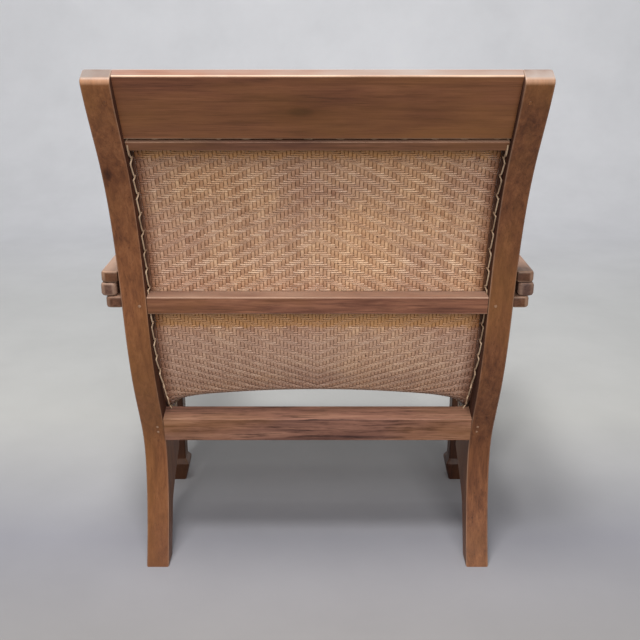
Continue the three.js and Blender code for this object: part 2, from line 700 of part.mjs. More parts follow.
function frontLeg() {
  const shaft = loft(legRings());
  shaft.translate(legCentre, legMiddle, 0);
  let leg = solidOf(shaft);
  leg = leg.add(squareBlock(LEG_TENON, runnerBottom - CUT_OVERRUN, runnerBottom + LEG_TENON_HEIGHT));
  const housing = grownOutline(seatRailOutline());
  leg = leg.subtract(sideBoard(housing, INNER_FACE - CUT_OVERRUN, INNER_FACE + SEAT_RAIL_THICKNESS + FIT));
  for (const place of legPegPlaces) leg = leg.subtract(legPeg(place, FIT));
  return leg;
}

// Plan of a board that is notched round the post: inner and outer edge, front, and the gap beside the post
function armOutline(inner, outer, front, earGap, nose) {
  const earInner = outerFace + earGap;
  return rounded([
    [point(inner, -front), nose],
    [point(outer, -front), nose],
    [point(outer, earBack), ARM_CORNER],
    [point(earInner, earBack), 0],
    [point(earInner, trimBack), 0],
    [point(inner, trimBack), 0],
  ]);
}

function pivotHole() {
  const from = new THREE.Vector3(pivot.x, pivot.y, boltEnd - CUT_OVERRUN);
  const length = ARM_TOP - boltEnd + 2 * CUT_OVERRUN;
  return rod(BOLT_RADIUS + FIT, from, new THREE.Vector3(0, 0, 1), length, ROUND_STEPS);
}

function armBoard() {
  const outline = armOutline(armInner, armOuter, ARM_FRONT, ARM_EAR_GAP, ARM_NOSE);
  const board = planBoard(outline, armBottom, ARM_TOP, ARM_EDGE);
  const notch = postClearance(armInner - CUT_OVERRUN, outerFace + ARM_EAR_GAP);
  return board.subtract(notch).subtract(pivotHole());
}

function armRunner() {
  const outline = armOutline(runnerInner, runnerOuter, runnerFront, FIT, ARM_NOSE);
  const board = planBoard(outline, runnerBottom, slotBottom, ARM_EDGE);
  const mortiseTop = runnerBottom + LEG_TENON_HEIGHT + FIT;
  const mortise = squareBlock(LEG_TENON + 2 * FIT, runnerBottom - CUT_OVERRUN, mortiseTop);
  const notch = postClearance(runnerInner - CUT_OVERRUN, outerFace + FIT);
  return board.subtract(notch).subtract(mortise).subtract(pivotHole());
}

function armSpacer() {
  const outline = armOutline(runnerInner, runnerOuter, runnerFront, FIT, ARM_NOSE);
  const board = planBoard(outline, slotBottom + FIT, armBottom - FIT);
  const [back, front] = [trimBack + CUT_OVERRUN, -runnerFront - CUT_OVERRUN];
  const [from, to] = [runnerInner - CUT_OVERRUN, spacerOuter];
  const corners = [point(from, front), point(to, front), point(to, back), point(from, back)];
  const strip = board.intersect(planBoard(corners, slotBottom, armBottom));
  return strip.subtract(postClearance(runnerInner - CUT_OVERRUN, outerFace));
}

function legRest() {
  const tailInner = outerFace + LEG_REST_POST_GAP;
  const front = pivot.y - restHalfWidth;
  const outline = rounded([
    [point(restInner, front), restHalfWidth],
    [point(restOuter, front), restHalfWidth],
    [point(restOuter, earBack), ARM_CORNER],
    [point(tailInner, earBack), ARM_CORNER],
    [point(tailInner, -LEG_REST_NECK_BACK), LEG_REST_NECK_CORNER],
    [point(restInner, -LEG_REST_NECK_FRONT), LEG_REST_NECK_CORNER],
  ]);
  const bottom = slotBottom + SLOT_PLAY;
  return planBoard(outline, bottom, bottom + LEG_REST_THICKNESS, LEG_REST_EDGE).subtract(pivotHole());
}

function turned(profile) {
  const outline = profile.map(([radius, height]) => point(radius, height));
  const geometry = new THREE.LatheGeometry(outline, ROUND_STEPS);
  geometry.rotateX(Math.PI / 2);
  geometry.translate(pivot.x, pivot.y, 0);
  return solidOf(geometry);
}

function pivotBolt() {
  const seat = ARM_TOP + FIT;
  const dome = [];
  for (let step = 0; step <= CORNER_STEPS; step++) {
    const angle = (Math.PI / 2) * (step / CORNER_STEPS);
    dome.push([BOLT_HEAD_RADIUS * Math.cos(angle), seat + BOLT_HEAD_HEIGHT * Math.sin(angle)]);
  }
  dome[dome.length - 1][0] = 0;
  return turned([[0, boltEnd], [BOLT_RADIUS, boltEnd], [BOLT_RADIUS, seat], ...dome]);
}

function pivotWasher() {
  const bottom = washerTop - WASHER_THICKNESS;
  const bore = BOLT_RADIUS + FIT;
  const rim = [[WASHER_RADIUS, bottom], [WASHER_RADIUS, washerTop]];
  return turned([[bore, bottom], ...rim, [bore, washerTop], [bore, bottom]]);
}

function pivotNut() {
  const corners = [];
  for (let i = 0; i < NUT_SIDES; i++) {
    corners.push(onCircle(pivot, NUT_RADIUS, (2 * Math.PI * i) / NUT_SIDES));
  }
  return planBoard(corners, nutTop - NUT_HEIGHT, nutTop).subtract(pivotHole());
}

// Pieces that follow the cane's line

// Front end of the cane, a gap short of the front rail
function caneEnd() {
  return seatEnd.clone().addScaledVector(seatUp, -FRONT_RAIL_THICKNESS - FIT);
}

// Edge of the cane from there back and up to the crest
function caneEdge() {
  const rest = caneLine.filter((place) => place.distanceTo(seatEnd) > FRONT_RAIL_THICKNESS + CANE_STEP / 2);
  return [caneEnd(), ...rest];
}

// The cane is drawn off its edges over the bend, most in the middle
function wovenSeat() {
  const line = caneEdge();
  const lengths = [0];
  for (let i = 1; i < line.length; i++) lengths.push(lengths[i - 1] + line[i].distanceTo(line[i - 1]));
  const lowest = line.reduce((best, place, i) => (place.y < line[best].y ? i : best), 0);
  const half = INNER_FACE - 2 * FIT - LACE_WIDTH;
  const rings = [];
  for (let column = 0; column <= CANE_STEPS_ACROSS; column++) {
    const across = Math.sin((Math.PI / 2) * (-1 + (2 * column) / CANE_STEPS_ACROSS));
    const edgeFall = Math.abs(across) ** BELLY_EDGE_POWER;
    const swell = BELLY * (1 - lerp(edgeFall, across ** 2, BELLY_ROUND_SHARE));
    const drawn = line.map((place, i) => {
      const away = Math.min(1, Math.abs(lengths[i] - lengths[lowest]) / BELLY_HALF_LENGTH);
      return besideLine(line, swell * Math.cos((Math.PI / 2) * away) ** 2)[i];
    });
    rings.push(bandRing(drawn, CANE_THICKNESS, half * across));
  }
  return solidOf(bandLoft(rings));
}

// The strip that the lacing cord lies in, along the inner face of post and seat rail
function edgeLace() {
  const outer = INNER_FACE - FIT;
  const rings = [outer - LACE_WIDTH, outer].map((x) => bandRing(caneEdge(), LACE_HEIGHT, x));
  return solidOf(bandLoft(rings));
}

// A line in side view thickened to both sides, at a distance from the middle
function bandRing(line, thickness, x) {
  const upper = besideLine(line, thickness / 2).reverse();
  const lower = besideLine(line, -thickness / 2);
  return [...lower, ...upper].map((place) => new THREE.Vector3(x, place.x, place.y));
}

// A skin through rings that are thin bands, closed at its two ends by quads across the band
function bandLoft(rings) {
  const positions = rings.flat().flatMap((place) => [place.x, place.y, place.z]);
  const count = rings[0].length;
  const index = [];
  for (let level = 0; level < rings.length - 1; level++) {
    for (let i = 0; i < count; i++) {
      const [a, b] = [level * count + i, level * count + ((i + 1) % count)];
      index.push(a, b, b + count, a, b + count, a + count);
    }
  }
  const last = (rings.length - 1) * count;
  for (let i = 0; i < count / 2 - 1; i++) {
    const [near, nearNext] = [i, i + 1];
    const [far, farNext] = [count - 1 - i, count - 2 - i];
    index.push(near, farNext, nearNext, near, far, farNext);
    index.push(last + near, last + nearNext, last + farNext, last + near, last + farNext, last + far);
  }
  const geometry = new THREE.BufferGeometry();
  geometry.setAttribute("position", new THREE.Float32BufferAttribute(positions, 3));
  geometry.setIndex(index);
  return geometry;
}

// Pieces across the middle

// Battens lie from post to post, a gap off each
function strip(box, radius) {
  return sideBoard(roundedBox(box, radius), -INNER_FACE + FIT, INNER_FACE - FIT);
}

// A box that lies flat against the cane, from a height of the cane's line down. It stands behind the cane where
// side is -1, in front of it where side is 1, and clear of the cane's curve.
function againstCane(top, side, thickness, tall) {
  const bottom = alongFrom(caneLine, top, tall);
  const along = top.clone().sub(bottom).normalize();
  const off = point(-along.y, along.x).multiplyScalar(side);
  const touched = caneLine.filter((place) => place.y > bottom.y && place.y < top.y);
  const curve = Math.max(0, ...touched.map((place) => place.clone().sub(bottom).dot(off)));
  const reach = curve + CANE_THICKNESS / 2 + FIT + (side < 0 ? thickness : 0);
  return leaningBox(top.clone().addScaledVector(off, reach), leanOf(along), thickness, tall);
}

// Behind the cane, under the crest rail
function crestBatten() {
  const top = atHeight(caneLine, crestBox[2].y);
  top.addScaledVector(directionAt(caneLine, top.y), -BATTEN_GAP);
  return strip(againstCane(top, -1, BATTEN_THICKNESS, BATTEN_HEIGHT), RAIL_EDGE / 2);
}

// In front of the cane, over its upper end
function crestCover() {
  return strip(againstCane(caneLine[caneLine.length - 1], 1, COVER_THICKNESS, COVER_HEIGHT), RAIL_EDGE / 2);
}

function seatBatten() {
  const corner = caneEnd()
    .addScaledVector(seatUp, -SEAT_BATTEN)
    .addScaledVector(seatNormal, -CANE_THICKNESS / 2 - FIT);
  return strip(leaningBox(corner, SEAT_RISE, SEAT_BATTEN, SEAT_BATTEN), RAIL_EDGE / 2);
}

// A cross rail with the holes of its pegs
function peggedRail(box, pegs) {
  let rail = crossRail(box);
  for (const peg of pegs) {
    const hole = backPeg(...peg, FIT);
    rail = rail.subtract(hole).subtract(mirrored(hole));
  }
  return rail;
}

function mirrored(solid) {
  return solid.mirror([1, 0, 0]);
}

// The chair

const chair = new THREE.Group();
const group = new THREE.Group();
group.add(chair);

function place(name, solid, material) {
  const mesh = new THREE.Mesh(geometryOf(solid), material);
  mesh.name = name;
  chair.add(mesh);
}

function placePair(name, solid, material) {
  place(name + "_left", solid, material);
  place(name + "_right", mirrored(solid), material);
}

placePair("back_post", backPost(), postWood);
placePair("seat_rail", seatRail(), railWood);
placePair("front_leg", frontLeg(), postWood);
place("crest_rail", peggedRail(crestBox, [CREST_PEG]), railWood);
place("mid_back_rail", peggedRail(midRailBox, [MID_PEG]), railWood);
place("rear_seat_rail", peggedRail(rearRailBox, [REAR_PEG_LOWER, REAR_PEG_UPPER]), railWood);
place("front_seat_rail", crossRail(frontRailBox), railWood);
place("crest_batten", crestBatten(), railWood);
place("crest_cover_strip", crestCover(), railWood);
place("seat_batten", seatBatten(), railWood);
place("woven_seat", wovenSeat(), caneMaterial);
placePair("edge_lace", edgeLace(), laceMaterial);
placePair("arm_board", armBoard(), armWood);
placePair("arm_spacer", armSpacer(), armWood);
placePair("arm_runner", armRunner(), armWood);
placePair("leg_rest", legRest(), armWood);
placePair("pivot_bolt", pivotBolt(), boltMaterial);
placePair("pivot_washer", pivotWasher(), boltMaterial);
placePair("pivot_nut", pivotNut(), boltMaterial);
placePair("crest_peg", backPeg(...CREST_PEG), pegWood);
placePair("mid_rail_peg", backPeg(...MID_PEG), pegWood);
placePair("rear_rail_peg_lower", backPeg(...REAR_PEG_LOWER), pegWood);
placePair("rear_rail_peg_upper", backPeg(...REAR_PEG_UPPER), pegWood);
placePair("shoulder_peg", sidePeg(shoulderPegPlace, shoulderPegFrom, outerFace, PEG_RADIUS), pegWood);
placePair("leg_peg_lower", legPeg(legPegPlaces[0]), pegWood);
placePair("leg_peg_upper", legPeg(legPegPlaces[1]), pegWood);

// Centred front to back on the origin
const box = new THREE.Box3().setFromObject(chair);
chair.position.y = -(box.min.y + box.max.y) / 2;

export default group;
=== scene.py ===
# %% [markdown]
# # A planters chair with a woven cane sling
# This chair is a long-armed veranda chair. Its back posts are sawn from planks in an S, and a sheet of woven
# cane hangs between the crest and the front rail. The solids of the frame are loaded first. Everything that
# is made here keeps to their places and sizes, and adds what a maker's hand and the years add to them: eased
# edges, grain, strands of cane and a lacing cord.

# %% Load the frame
import math
import random

import bmesh
import bpy
import numpy as np
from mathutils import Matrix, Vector


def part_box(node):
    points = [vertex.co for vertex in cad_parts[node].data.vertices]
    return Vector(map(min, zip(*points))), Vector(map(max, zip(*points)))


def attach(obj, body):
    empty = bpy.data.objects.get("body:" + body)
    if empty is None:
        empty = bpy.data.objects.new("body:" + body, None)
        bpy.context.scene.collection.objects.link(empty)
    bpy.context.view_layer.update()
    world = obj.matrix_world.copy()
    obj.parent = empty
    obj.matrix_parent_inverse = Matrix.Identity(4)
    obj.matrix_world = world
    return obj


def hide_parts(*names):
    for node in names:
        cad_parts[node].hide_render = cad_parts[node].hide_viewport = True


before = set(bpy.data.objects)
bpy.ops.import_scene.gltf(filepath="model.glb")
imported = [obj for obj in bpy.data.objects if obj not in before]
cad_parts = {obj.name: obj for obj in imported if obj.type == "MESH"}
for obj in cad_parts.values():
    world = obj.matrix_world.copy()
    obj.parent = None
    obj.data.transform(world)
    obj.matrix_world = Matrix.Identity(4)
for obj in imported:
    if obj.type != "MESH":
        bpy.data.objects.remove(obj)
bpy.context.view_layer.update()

# %% [markdown]
# ## Small helpers
# Blender's operators act on whatever is selected, so a maker's habit is to clear the selection, pick one
# object and make it active. Colours are easier to read as the 0 to 255 numbers of a colour picker, while
# Blender's sockets want linear light, so two helpers turn the one into the other.

# %% Selection and colour
SRGB_TOE = 0.04045


def pick(piece):
    """Makes this the only selected object, and the active one."""
    bpy.ops.object.select_all(action="DESELECT")
    piece.select_set(True)
    bpy.context.view_layer.objects.active = piece


def apply_modifiers(piece):
    """Applies what is on the piece, from the top down."""
    pick(piece)
    for modifier in list(piece.modifiers):
        bpy.ops.object.modifier_apply(modifier=modifier.name)


def light_of(number):
    """One of a colour picker's numbers as linear light."""
    share = number / 255
    return share / 12.92 if share <= SRGB_TOE else ((share + 0.055) / 1.055) ** 2.4


def linear(red, green, blue):
    """A colour picker's three numbers as the linear colour that a socket takes."""
    return (light_of(red), light_of(green), light_of(blue), 1.0)


# %% [markdown]
# ## Helpers for materials
# A material is a small tree of nodes. These helpers add a node or two each and fill their sockets, so that a
# finish further down reads as a list of its layers. Its patterns come from noise, which gives each place a
# cloudy number. Most of these numbers lie between 0.3 and 0.7, so that span is what gets stretched over the
# range that a layer needs. A range says first where a mask begins and ends, and then how strong it is there.

# %% Nodes and their sockets
def new_material(name):
    """A material, its tree of nodes and the shader that stands in it."""
    material = bpy.data.materials.new(name)
    material.use_nodes = True
    tree = material.node_tree
    return material, tree, tree.nodes["Principled BSDF"]


def fill(tree, socket, value):
    """Joins a socket to another node's output, or sets it to a plain value."""
    if hasattr(value, "links"):
        tree.links.new(value, socket)
    else:
        socket.default_value = value


def feed(tree, node, **inputs):
    """Fills a node's sockets by their names."""
    for name, value in inputs.items():
        fill(tree, node.inputs[name.replace("_", " ")], value)


def add_node(tree, kind, **inputs):
    """A new node with its sockets filled."""
    node = tree.nodes.new(kind)
    feed(tree, node, **inputs)
    return node


def coordinates(tree, kind):
    """The piece's own coordinates for Object, or the way that its surface faces for Normal."""
    return tree.nodes.new("ShaderNodeTexCoord").outputs[kind]


def apart(tree, vector):
    """A vector's X, Y and Z, each as a number of its own."""
    return add_node(tree, "ShaderNodeSeparateXYZ", Vector=vector).outputs


def add_attribute(tree, name):
    """A number that the mesh carries at each of its corners."""
    node = tree.nodes.new("ShaderNodeAttribute")
    node.attribute_name = name
    return node.outputs["Fac"]


# %% Sums
def add_math(tree, operation, first, second=0.5):
    """One sum on two numbers or outputs."""
    node = tree.nodes.new("ShaderNodeMath")
    node.operation = operation
    for socket, value in zip(node.inputs, (first, second)):
        fill(tree, socket, value)
    return node.outputs[0]


def overlap(tree, mask, *others):
    """Where all of these masks are at once, which is their product."""
    for other in others:
        mask = add_math(tree, "MULTIPLY", mask, other)
    return mask


def add_range(tree, value, low, high, to_low=0.0, to_high=1.0):
    """A number moved from one range to another, and held inside it."""
    node = add_node(tree, "ShaderNodeMapRange", Value=value, From_Min=low, From_Max=high, To_Min=to_low,
                    To_Max=to_high)
    return node.outputs["Result"]


# %% Colours
# A Mix node has sockets of several kinds. These are its amount and two colours, and the colour that it gives
MIX_INPUTS = (0, 6, 7)
MIX_OUTPUT = 2


def add_ramp(tree, value, stops):
    """A colour ramp with these stops, from (place, colour) pairs."""
    node = add_node(tree, "ShaderNodeValToRGB", Fac=value)
    ramp = node.color_ramp
    while len(ramp.elements) < len(stops):
        ramp.elements.new(0.5)
    for element, (place, colour) in zip(ramp.elements, stops):
        element.position = place
        element.color = colour
    return node.outputs["Color"]


def add_blend(tree, kind, amount, first, second):
    """Two colours mixed in the way that kind says."""
    node = tree.nodes.new("ShaderNodeMix")
    node.data_type = "RGBA"
    node.blend_type = kind
    for index, value in zip(MIX_INPUTS, (amount, first, second)):
        fill(tree, node.inputs[index], value)
    return node.outputs[MIX_OUTPUT]


def lay_over(tree, colour, layers):
    """A colour under layers, each with its way of mixing, its mask and its own colour."""
    for kind, mask, tone in layers:
        colour = add_blend(tree, kind, mask, colour, tone)
    return colour


# %% Noise and relief
NOISE_SPAN = (0.3, 0.7)


def add_noise(tree, place, scale, detail, **more):
    """A cloudy number for each place, with so many patches to the metre."""
    node = add_node(tree, "ShaderNodeTexNoise", Vector=place, Scale=scale, Detail=detail, **more)
    return node.outputs["Fac"]


def spread_noise(tree, noise, low, high):
    """A noise whose usual span is stretched from low to high."""
    return add_range(tree, noise, *NOISE_SPAN, low, high)


def stretched(tree, place, along, squeeze, shift=(0.0, 0.0, 0.0)):
    """Coordinates squeezed along one axis, so that a pattern runs long that way."""
    scale = [1.0, 1.0, 1.0]
    scale["XYZ".index(along)] = squeeze
    node = add_node(tree, "ShaderNodeMapping", Vector=place, Scale=scale, Location=shift)
    return node.outputs["Vector"]


def add_bump(tree, height, strength, distance, **under):
    """Small hills and hollows that only the light sees."""
    node = add_node(tree, "ShaderNodeBump", Height=height, Strength=strength, Distance=distance, **under)
    return node.outputs["Normal"]


# %% [markdown]
# ## The camera
# The picture was taken from straight behind the chair, from about a metre up, looking a little down. The
# lens, the tilt and the distance are those at which the chair's own corners fall where the picture has them.
# The chair faces -Y, so the camera stands on its +Y side.

# %% Camera
PICTURE_WIDTH = 640
FOCAL_PIXELS = 900
SENSOR_MILLIMETRES = 36
TILT_DOWN = math.radians(18.95)
CAMERA_HEIGHT = 1.0477
CAMERA_BEHIND_HEELS = 1.5362
CHAIR_MIDDLE_PIXEL = 317.5
HEEL_FROM_MIDDLE = 0.1929


def add_camera():
    """Stands the camera behind the chair, with the picture's lens and tilt."""
    data = bpy.data.cameras.new("picture_camera")
    data.sensor_width = SENSOR_MILLIMETRES
    data.lens = data.sensor_width * FOCAL_PIXELS / PICTURE_WIDTH
    data.shift_x = (PICTURE_WIDTH / 2 - CHAIR_MIDDLE_PIXEL) / PICTURE_WIDTH
    camera = bpy.data.objects.new("picture_camera", data)
    camera.location = (0, HEEL_FROM_MIDDLE + CAMERA_BEHIND_HEELS, CAMERA_HEIGHT)
    camera.rotation_euler = (math.pi / 2 - TILT_DOWN, 0, math.pi)
    bpy.context.scene.collection.objects.link(camera)
    bpy.context.scene.camera = camera
    return camera


camera = add_camera()
print("camera at", tuple(round(value, 3) for value in camera.location))

# %% [markdown]
# ## Floor, backdrop and light
# A pale sheet runs along the floor and up behind the chair in one soft curve, as in a photographer's studio.
# It starts as a plane. The far edge is pulled up into a wall, and the fold between them is bevelled until it
# is round. The light is wide and plain: a panel overhead for the bright upper edges, and a broader, softer
# one behind the camera.

# %% Paper
WALL_BEHIND = 3.8
NEAR_EDGE = 1.0
MOTTLE_SCALE = 3.0
# Painted light and shade on one sheet, from its near part in front of the camera to the wall: greyer near
# the camera, a bluish painted shadow where the chair's shadow falls, and brighter up the wall
SHEET_LIGHT_AND_SHADE = [
    (0.0, linear(144, 141, 138)),
    (0.105, linear(146, 143, 141)),
    (0.19, linear(148, 147, 153)),
    (0.315, linear(196, 195, 191)),
    (0.525, linear(220, 220, 218)),
    (0.75, linear(246, 246, 248)),
    (1.0, linear(252, 252, 254)),
]


def paper_finish():
    """A sheet with painted light and shade, greyer towards the camera and bluish under the chair, with the
    faint mottling of a swept floor.
    """
    material, tree, shader = new_material("backdrop_paper")
    place = coordinates(tree, "Object")
    sheet = add_ramp(tree, add_range(tree, apart(tree, place)["Y"], NEAR_EDGE, -WALL_BEHIND), SHEET_LIGHT_AND_SHADE)
    mottle = add_noise(tree, place, MOTTLE_SCALE, 6.0, Roughness=0.6)
    colour = add_blend(tree, "MULTIPLY", 1.0, sheet, spread_noise(tree, mottle, 0.94, 1.03))
    feed(tree, shader, Base_Color=colour, Roughness=0.9)
    return material


# %% Backdrop
SHEET_SIZE = 11
WALL_HEIGHT = 4
FOLD_RADIUS = 1.2
FOLD_STEPS = 24
TOUCHING = 0.01


def select_far_edge(sheet, on_floor_only):
    """Selects the edges at the sheet's far end, or of these only those on the floor."""
    bpy.ops.mesh.select_all(action="DESELECT")
    mesh = bmesh.from_edit_mesh(sheet.data)
    for edge in mesh.edges:
        far = all(vertex.co.y < -WALL_BEHIND + TOUCHING for vertex in edge.verts)
        low = all(abs(vertex.co.z) < TOUCHING for vertex in edge.verts)
        edge.select = far and (low or not on_floor_only)
    bmesh.update_edit_mesh(sheet.data)


def add_backdrop():
    """A plane whose far edge is extruded up and whose fold is rounded."""
    bpy.ops.object.select_all(action="DESELECT")
    middle = SHEET_SIZE / 2 - WALL_BEHIND
    bpy.ops.mesh.primitive_plane_add(size=SHEET_SIZE, location=(0, middle, 0))
    sheet = bpy.context.object
    sheet.name = "backdrop"
    bpy.ops.object.transform_apply(location=True, rotation=True, scale=True)
    bpy.ops.object.mode_set(mode="EDIT")
    bpy.ops.mesh.select_mode(type="EDGE")
    select_far_edge(sheet, on_floor_only=False)
    bpy.ops.mesh.extrude_region_move(TRANSFORM_OT_translate={"value": (0, 0, WALL_HEIGHT)})
    select_far_edge(sheet, on_floor_only=True)
    bpy.ops.mesh.bevel(offset=FOLD_RADIUS, segments=FOLD_STEPS)
    bpy.ops.object.mode_set(mode="OBJECT")
    bpy.ops.object.shade_smooth()
    sheet.data.materials.append(paper_finish())
    return sheet


backdrop = add_backdrop()
print("backdrop faces:", len(backdrop.data.polygons))

# %% Lamps and world
OVERHEAD = {"place": (0.35, 1.15, 3.0), "size": 0.9, "power": 86}
BEHIND_CAMERA = {"place": (-0.3, 3.3, 2.2), "size": 1.8, "power": 82}
CHAIR_MIDDLE = Vector((0, 0, 0.5))
SKY_COLOUR = (0.93, 0.95, 1.0, 1.0)
SKY_STRENGTH = 0.22


def add_panel(name, place, size, power):
    """A square lamp that faces the middle of the chair."""
    data = bpy.data.lights.new(name, "AREA")
    data.size = size
    data.energy = power
    lamp = bpy.data.objects.new(name, data)
    lamp.location = place
    lamp.rotation_euler = (CHAIR_MIDDLE - Vector(place)).to_track_quat("-Z", "Y").to_euler()
    bpy.context.scene.collection.objects.link(lamp)


def light_the_room():
    """Two panels and an even sky, shown as colours really are."""
    add_panel("overhead_panel", **OVERHEAD)
    add_panel("camera_panel", **BEHIND_CAMERA)
    scene = bpy.context.scene
    scene.view_settings.view_transform = "Standard"
    scene.world = bpy.data.worlds.new("studio")
    scene.world.use_nodes = True
    sky = scene.world.node_tree.nodes["Background"]
    sky.inputs["Color"].default_value = SKY_COLOUR
    sky.inputs["Strength"].default_value = SKY_STRENGTH


light_the_room()
print("lamps in watts:", OVERHEAD["power"], "and", BEHIND_CAMERA["power"])

# %% [markdown]
# ## Old polished hardwood
# The frame is a dense red-brown hardwood, rubbed with wax for many years. Three scales of pattern make it
# read as wood: a broad figure of darker and lighter bands, fine fibres and dark streaks that run along the
# piece, and short dark pores. Slower patterns stand for the years: hands have rubbed the polish golden in
# places, smoke has greyed it in others, dust has settled on faces that look up, and the eased edges are worn
# pale. Light and shade are painted in as well: a sheen with the dust on the faces that look up, a highlight
# with the wear on the eased edges, and shade towards the floor and on the posts' inner faces beside the
# sling.
# The patterns read the piece's own coordinates, and those of the wood run long in the grain.

# %% Grain and knots
PORE_DEPTH = 0.5
KNOT_HALO = linear(170, 140, 120)
# How far the coordinates of a pattern are squeezed along the grain
FIGURE_SQUEEZE = 0.06
FIBRE_SQUEEZE = 0.025
KNOT_SQUEEZE = 0.45
# How many patches of a pattern lie side by side in a metre
FIBRE_SCALE = 300.0
PORE_SCALE = 720.0
STREAK_SCALE = 260.0
KNOT_SCALE = 7.0


def grain_layers(tree, place, along, tones, figure_size, shift, streaks):
    """Colour of the bare wood, and the fibres and pores that its relief is made of."""
    dark, middle, light = tones
    long_grain = stretched(tree, place, along, FIGURE_SQUEEZE, shift)
    fine_grain = stretched(tree, place, along, FIBRE_SQUEEZE, shift)
    figure = add_noise(tree, long_grain, figure_size, 7.0, Roughness=0.66, Distortion=0.5)
    streak = add_noise(tree, long_grain, STREAK_SCALE, 5.0, Roughness=0.7)
    fibres = add_noise(tree, fine_grain, FIBRE_SCALE, 4.0, Roughness=0.6)
    pores = add_range(tree, add_noise(tree, fine_grain, PORE_SCALE, 2.0), 0.60, 0.70)
    banded = add_ramp(tree, figure, [(0.28, dark), (0.5, middle), (0.72, light)])
    layers = (
        ("MULTIPLY", 1.0, spread_noise(tree, fibres, 0.86, 1.12)),
        ("MULTIPLY", add_range(tree, streak, 0.5, 0.66, 0.0, streaks), dark),
        ("MULTIPLY", overlap(tree, pores, PORE_DEPTH), dark),
    )
    return lay_over(tree, banded, layers), fibres, pores


def add_knots(tree, colour, place, along, dark, shift):
    """A dark knot here and there, long in the grain, with a paler halo round it."""
    spots = stretched(tree, place, along, KNOT_SQUEEZE, shift)
    from_heart = add_node(tree, "ShaderNodeTexVoronoi", Vector=spots, Scale=KNOT_SCALE).outputs["Distance"]
    layers = (
        ("MULTIPLY", add_range(tree, from_heart, 0.05, 0.22, 0.55, 0.0), KNOT_HALO),
        ("MULTIPLY", add_range(tree, from_heart, 0.03, 0.075, 0.9, 0.0), dark),
    )
    return lay_over(tree, colour, layers)


# %% Where the posts' inner faces take painted shade, and where dust and a painted sheen settle
INNER_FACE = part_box("back_post_left")[0][0]
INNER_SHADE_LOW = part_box("rear_seat_rail")[0][2]
INNER_SHADE_FADE = 0.05
INNER_SHADE_REACH = (0.001, 0.003)
DUST_AND_SHEEN_FADE = 0.02


def unpolished_shaded_faces(tree, where, facing):
    """A mask of the posts' inner faces beside the sling, which no hand polishes and little light reaches: it
    paints shade there and makes the wax rougher.
    """
    near, far = (INNER_FACE + reach for reach in INNER_SHADE_REACH)
    on_face = add_range(tree, add_math(tree, "ABSOLUTE", where["X"]), near, far, 1.0, 0.0)
    turned_in = add_range(tree, add_math(tree, "ABSOLUTE", facing["X"]), 0.7, 0.95)
    beside_sling = add_range(tree, where["Z"], INNER_SHADE_LOW, INNER_SHADE_LOW + INNER_SHADE_FADE)
    return overlap(tree, on_face, turned_in, beside_sling)


def dust_and_sheen_mask(tree, where, facing, handling, dust_and_sheen, dust_and_sheen_from):
    """A mask of dust and a painted sheen: on faces that look up, above a height, and less where hands go."""
    level = add_range(tree, facing["Z"], 0.35, 0.9, 0.0, dust_and_sheen)
    high_enough = add_range(tree, where["Z"], dust_and_sheen_from - DUST_AND_SHEEN_FADE, dust_and_sheen_from)
    return overlap(tree, level, high_enough, add_range(tree, handling, 0.35, 0.62, 0.2, 1.3))


# %% Wood finish
WORN_SQUEEZE = 0.3
HANDLING_SCALE = 9.0
SMOKE_SCALE = 13.0
SWELL_SCALE = 34.0
SEED_STEPS = (1.7, 2.3, 0.9)
SPECULAR = 0.32
FLOOR_SHADE_HEIGHT = 0.26
GOLDEN = linear(138, 92, 48)
SMOKE = linear(150, 132, 138)
END_GRAIN = linear(165, 150, 142)
# Painted shade towards the floor
FLOOR_SHADE_TONE = linear(208, 198, 196)
# Painted shade on the posts' inner faces beside the sling
SHADED_INNER_FACE = linear(176, 158, 148)
# Dust with a painted sheen of light, for faces that look up
DUST_AND_SHEEN = linear(190, 158, 138)
PALE_DUST_AND_SHEEN = linear(148, 134, 126)
THIN_DUST_AND_SHEEN = linear(127, 115, 108)
# Worn edges, with a painted highlight
RUBBED_AND_HIGHLIGHT = linear(204, 170, 144)


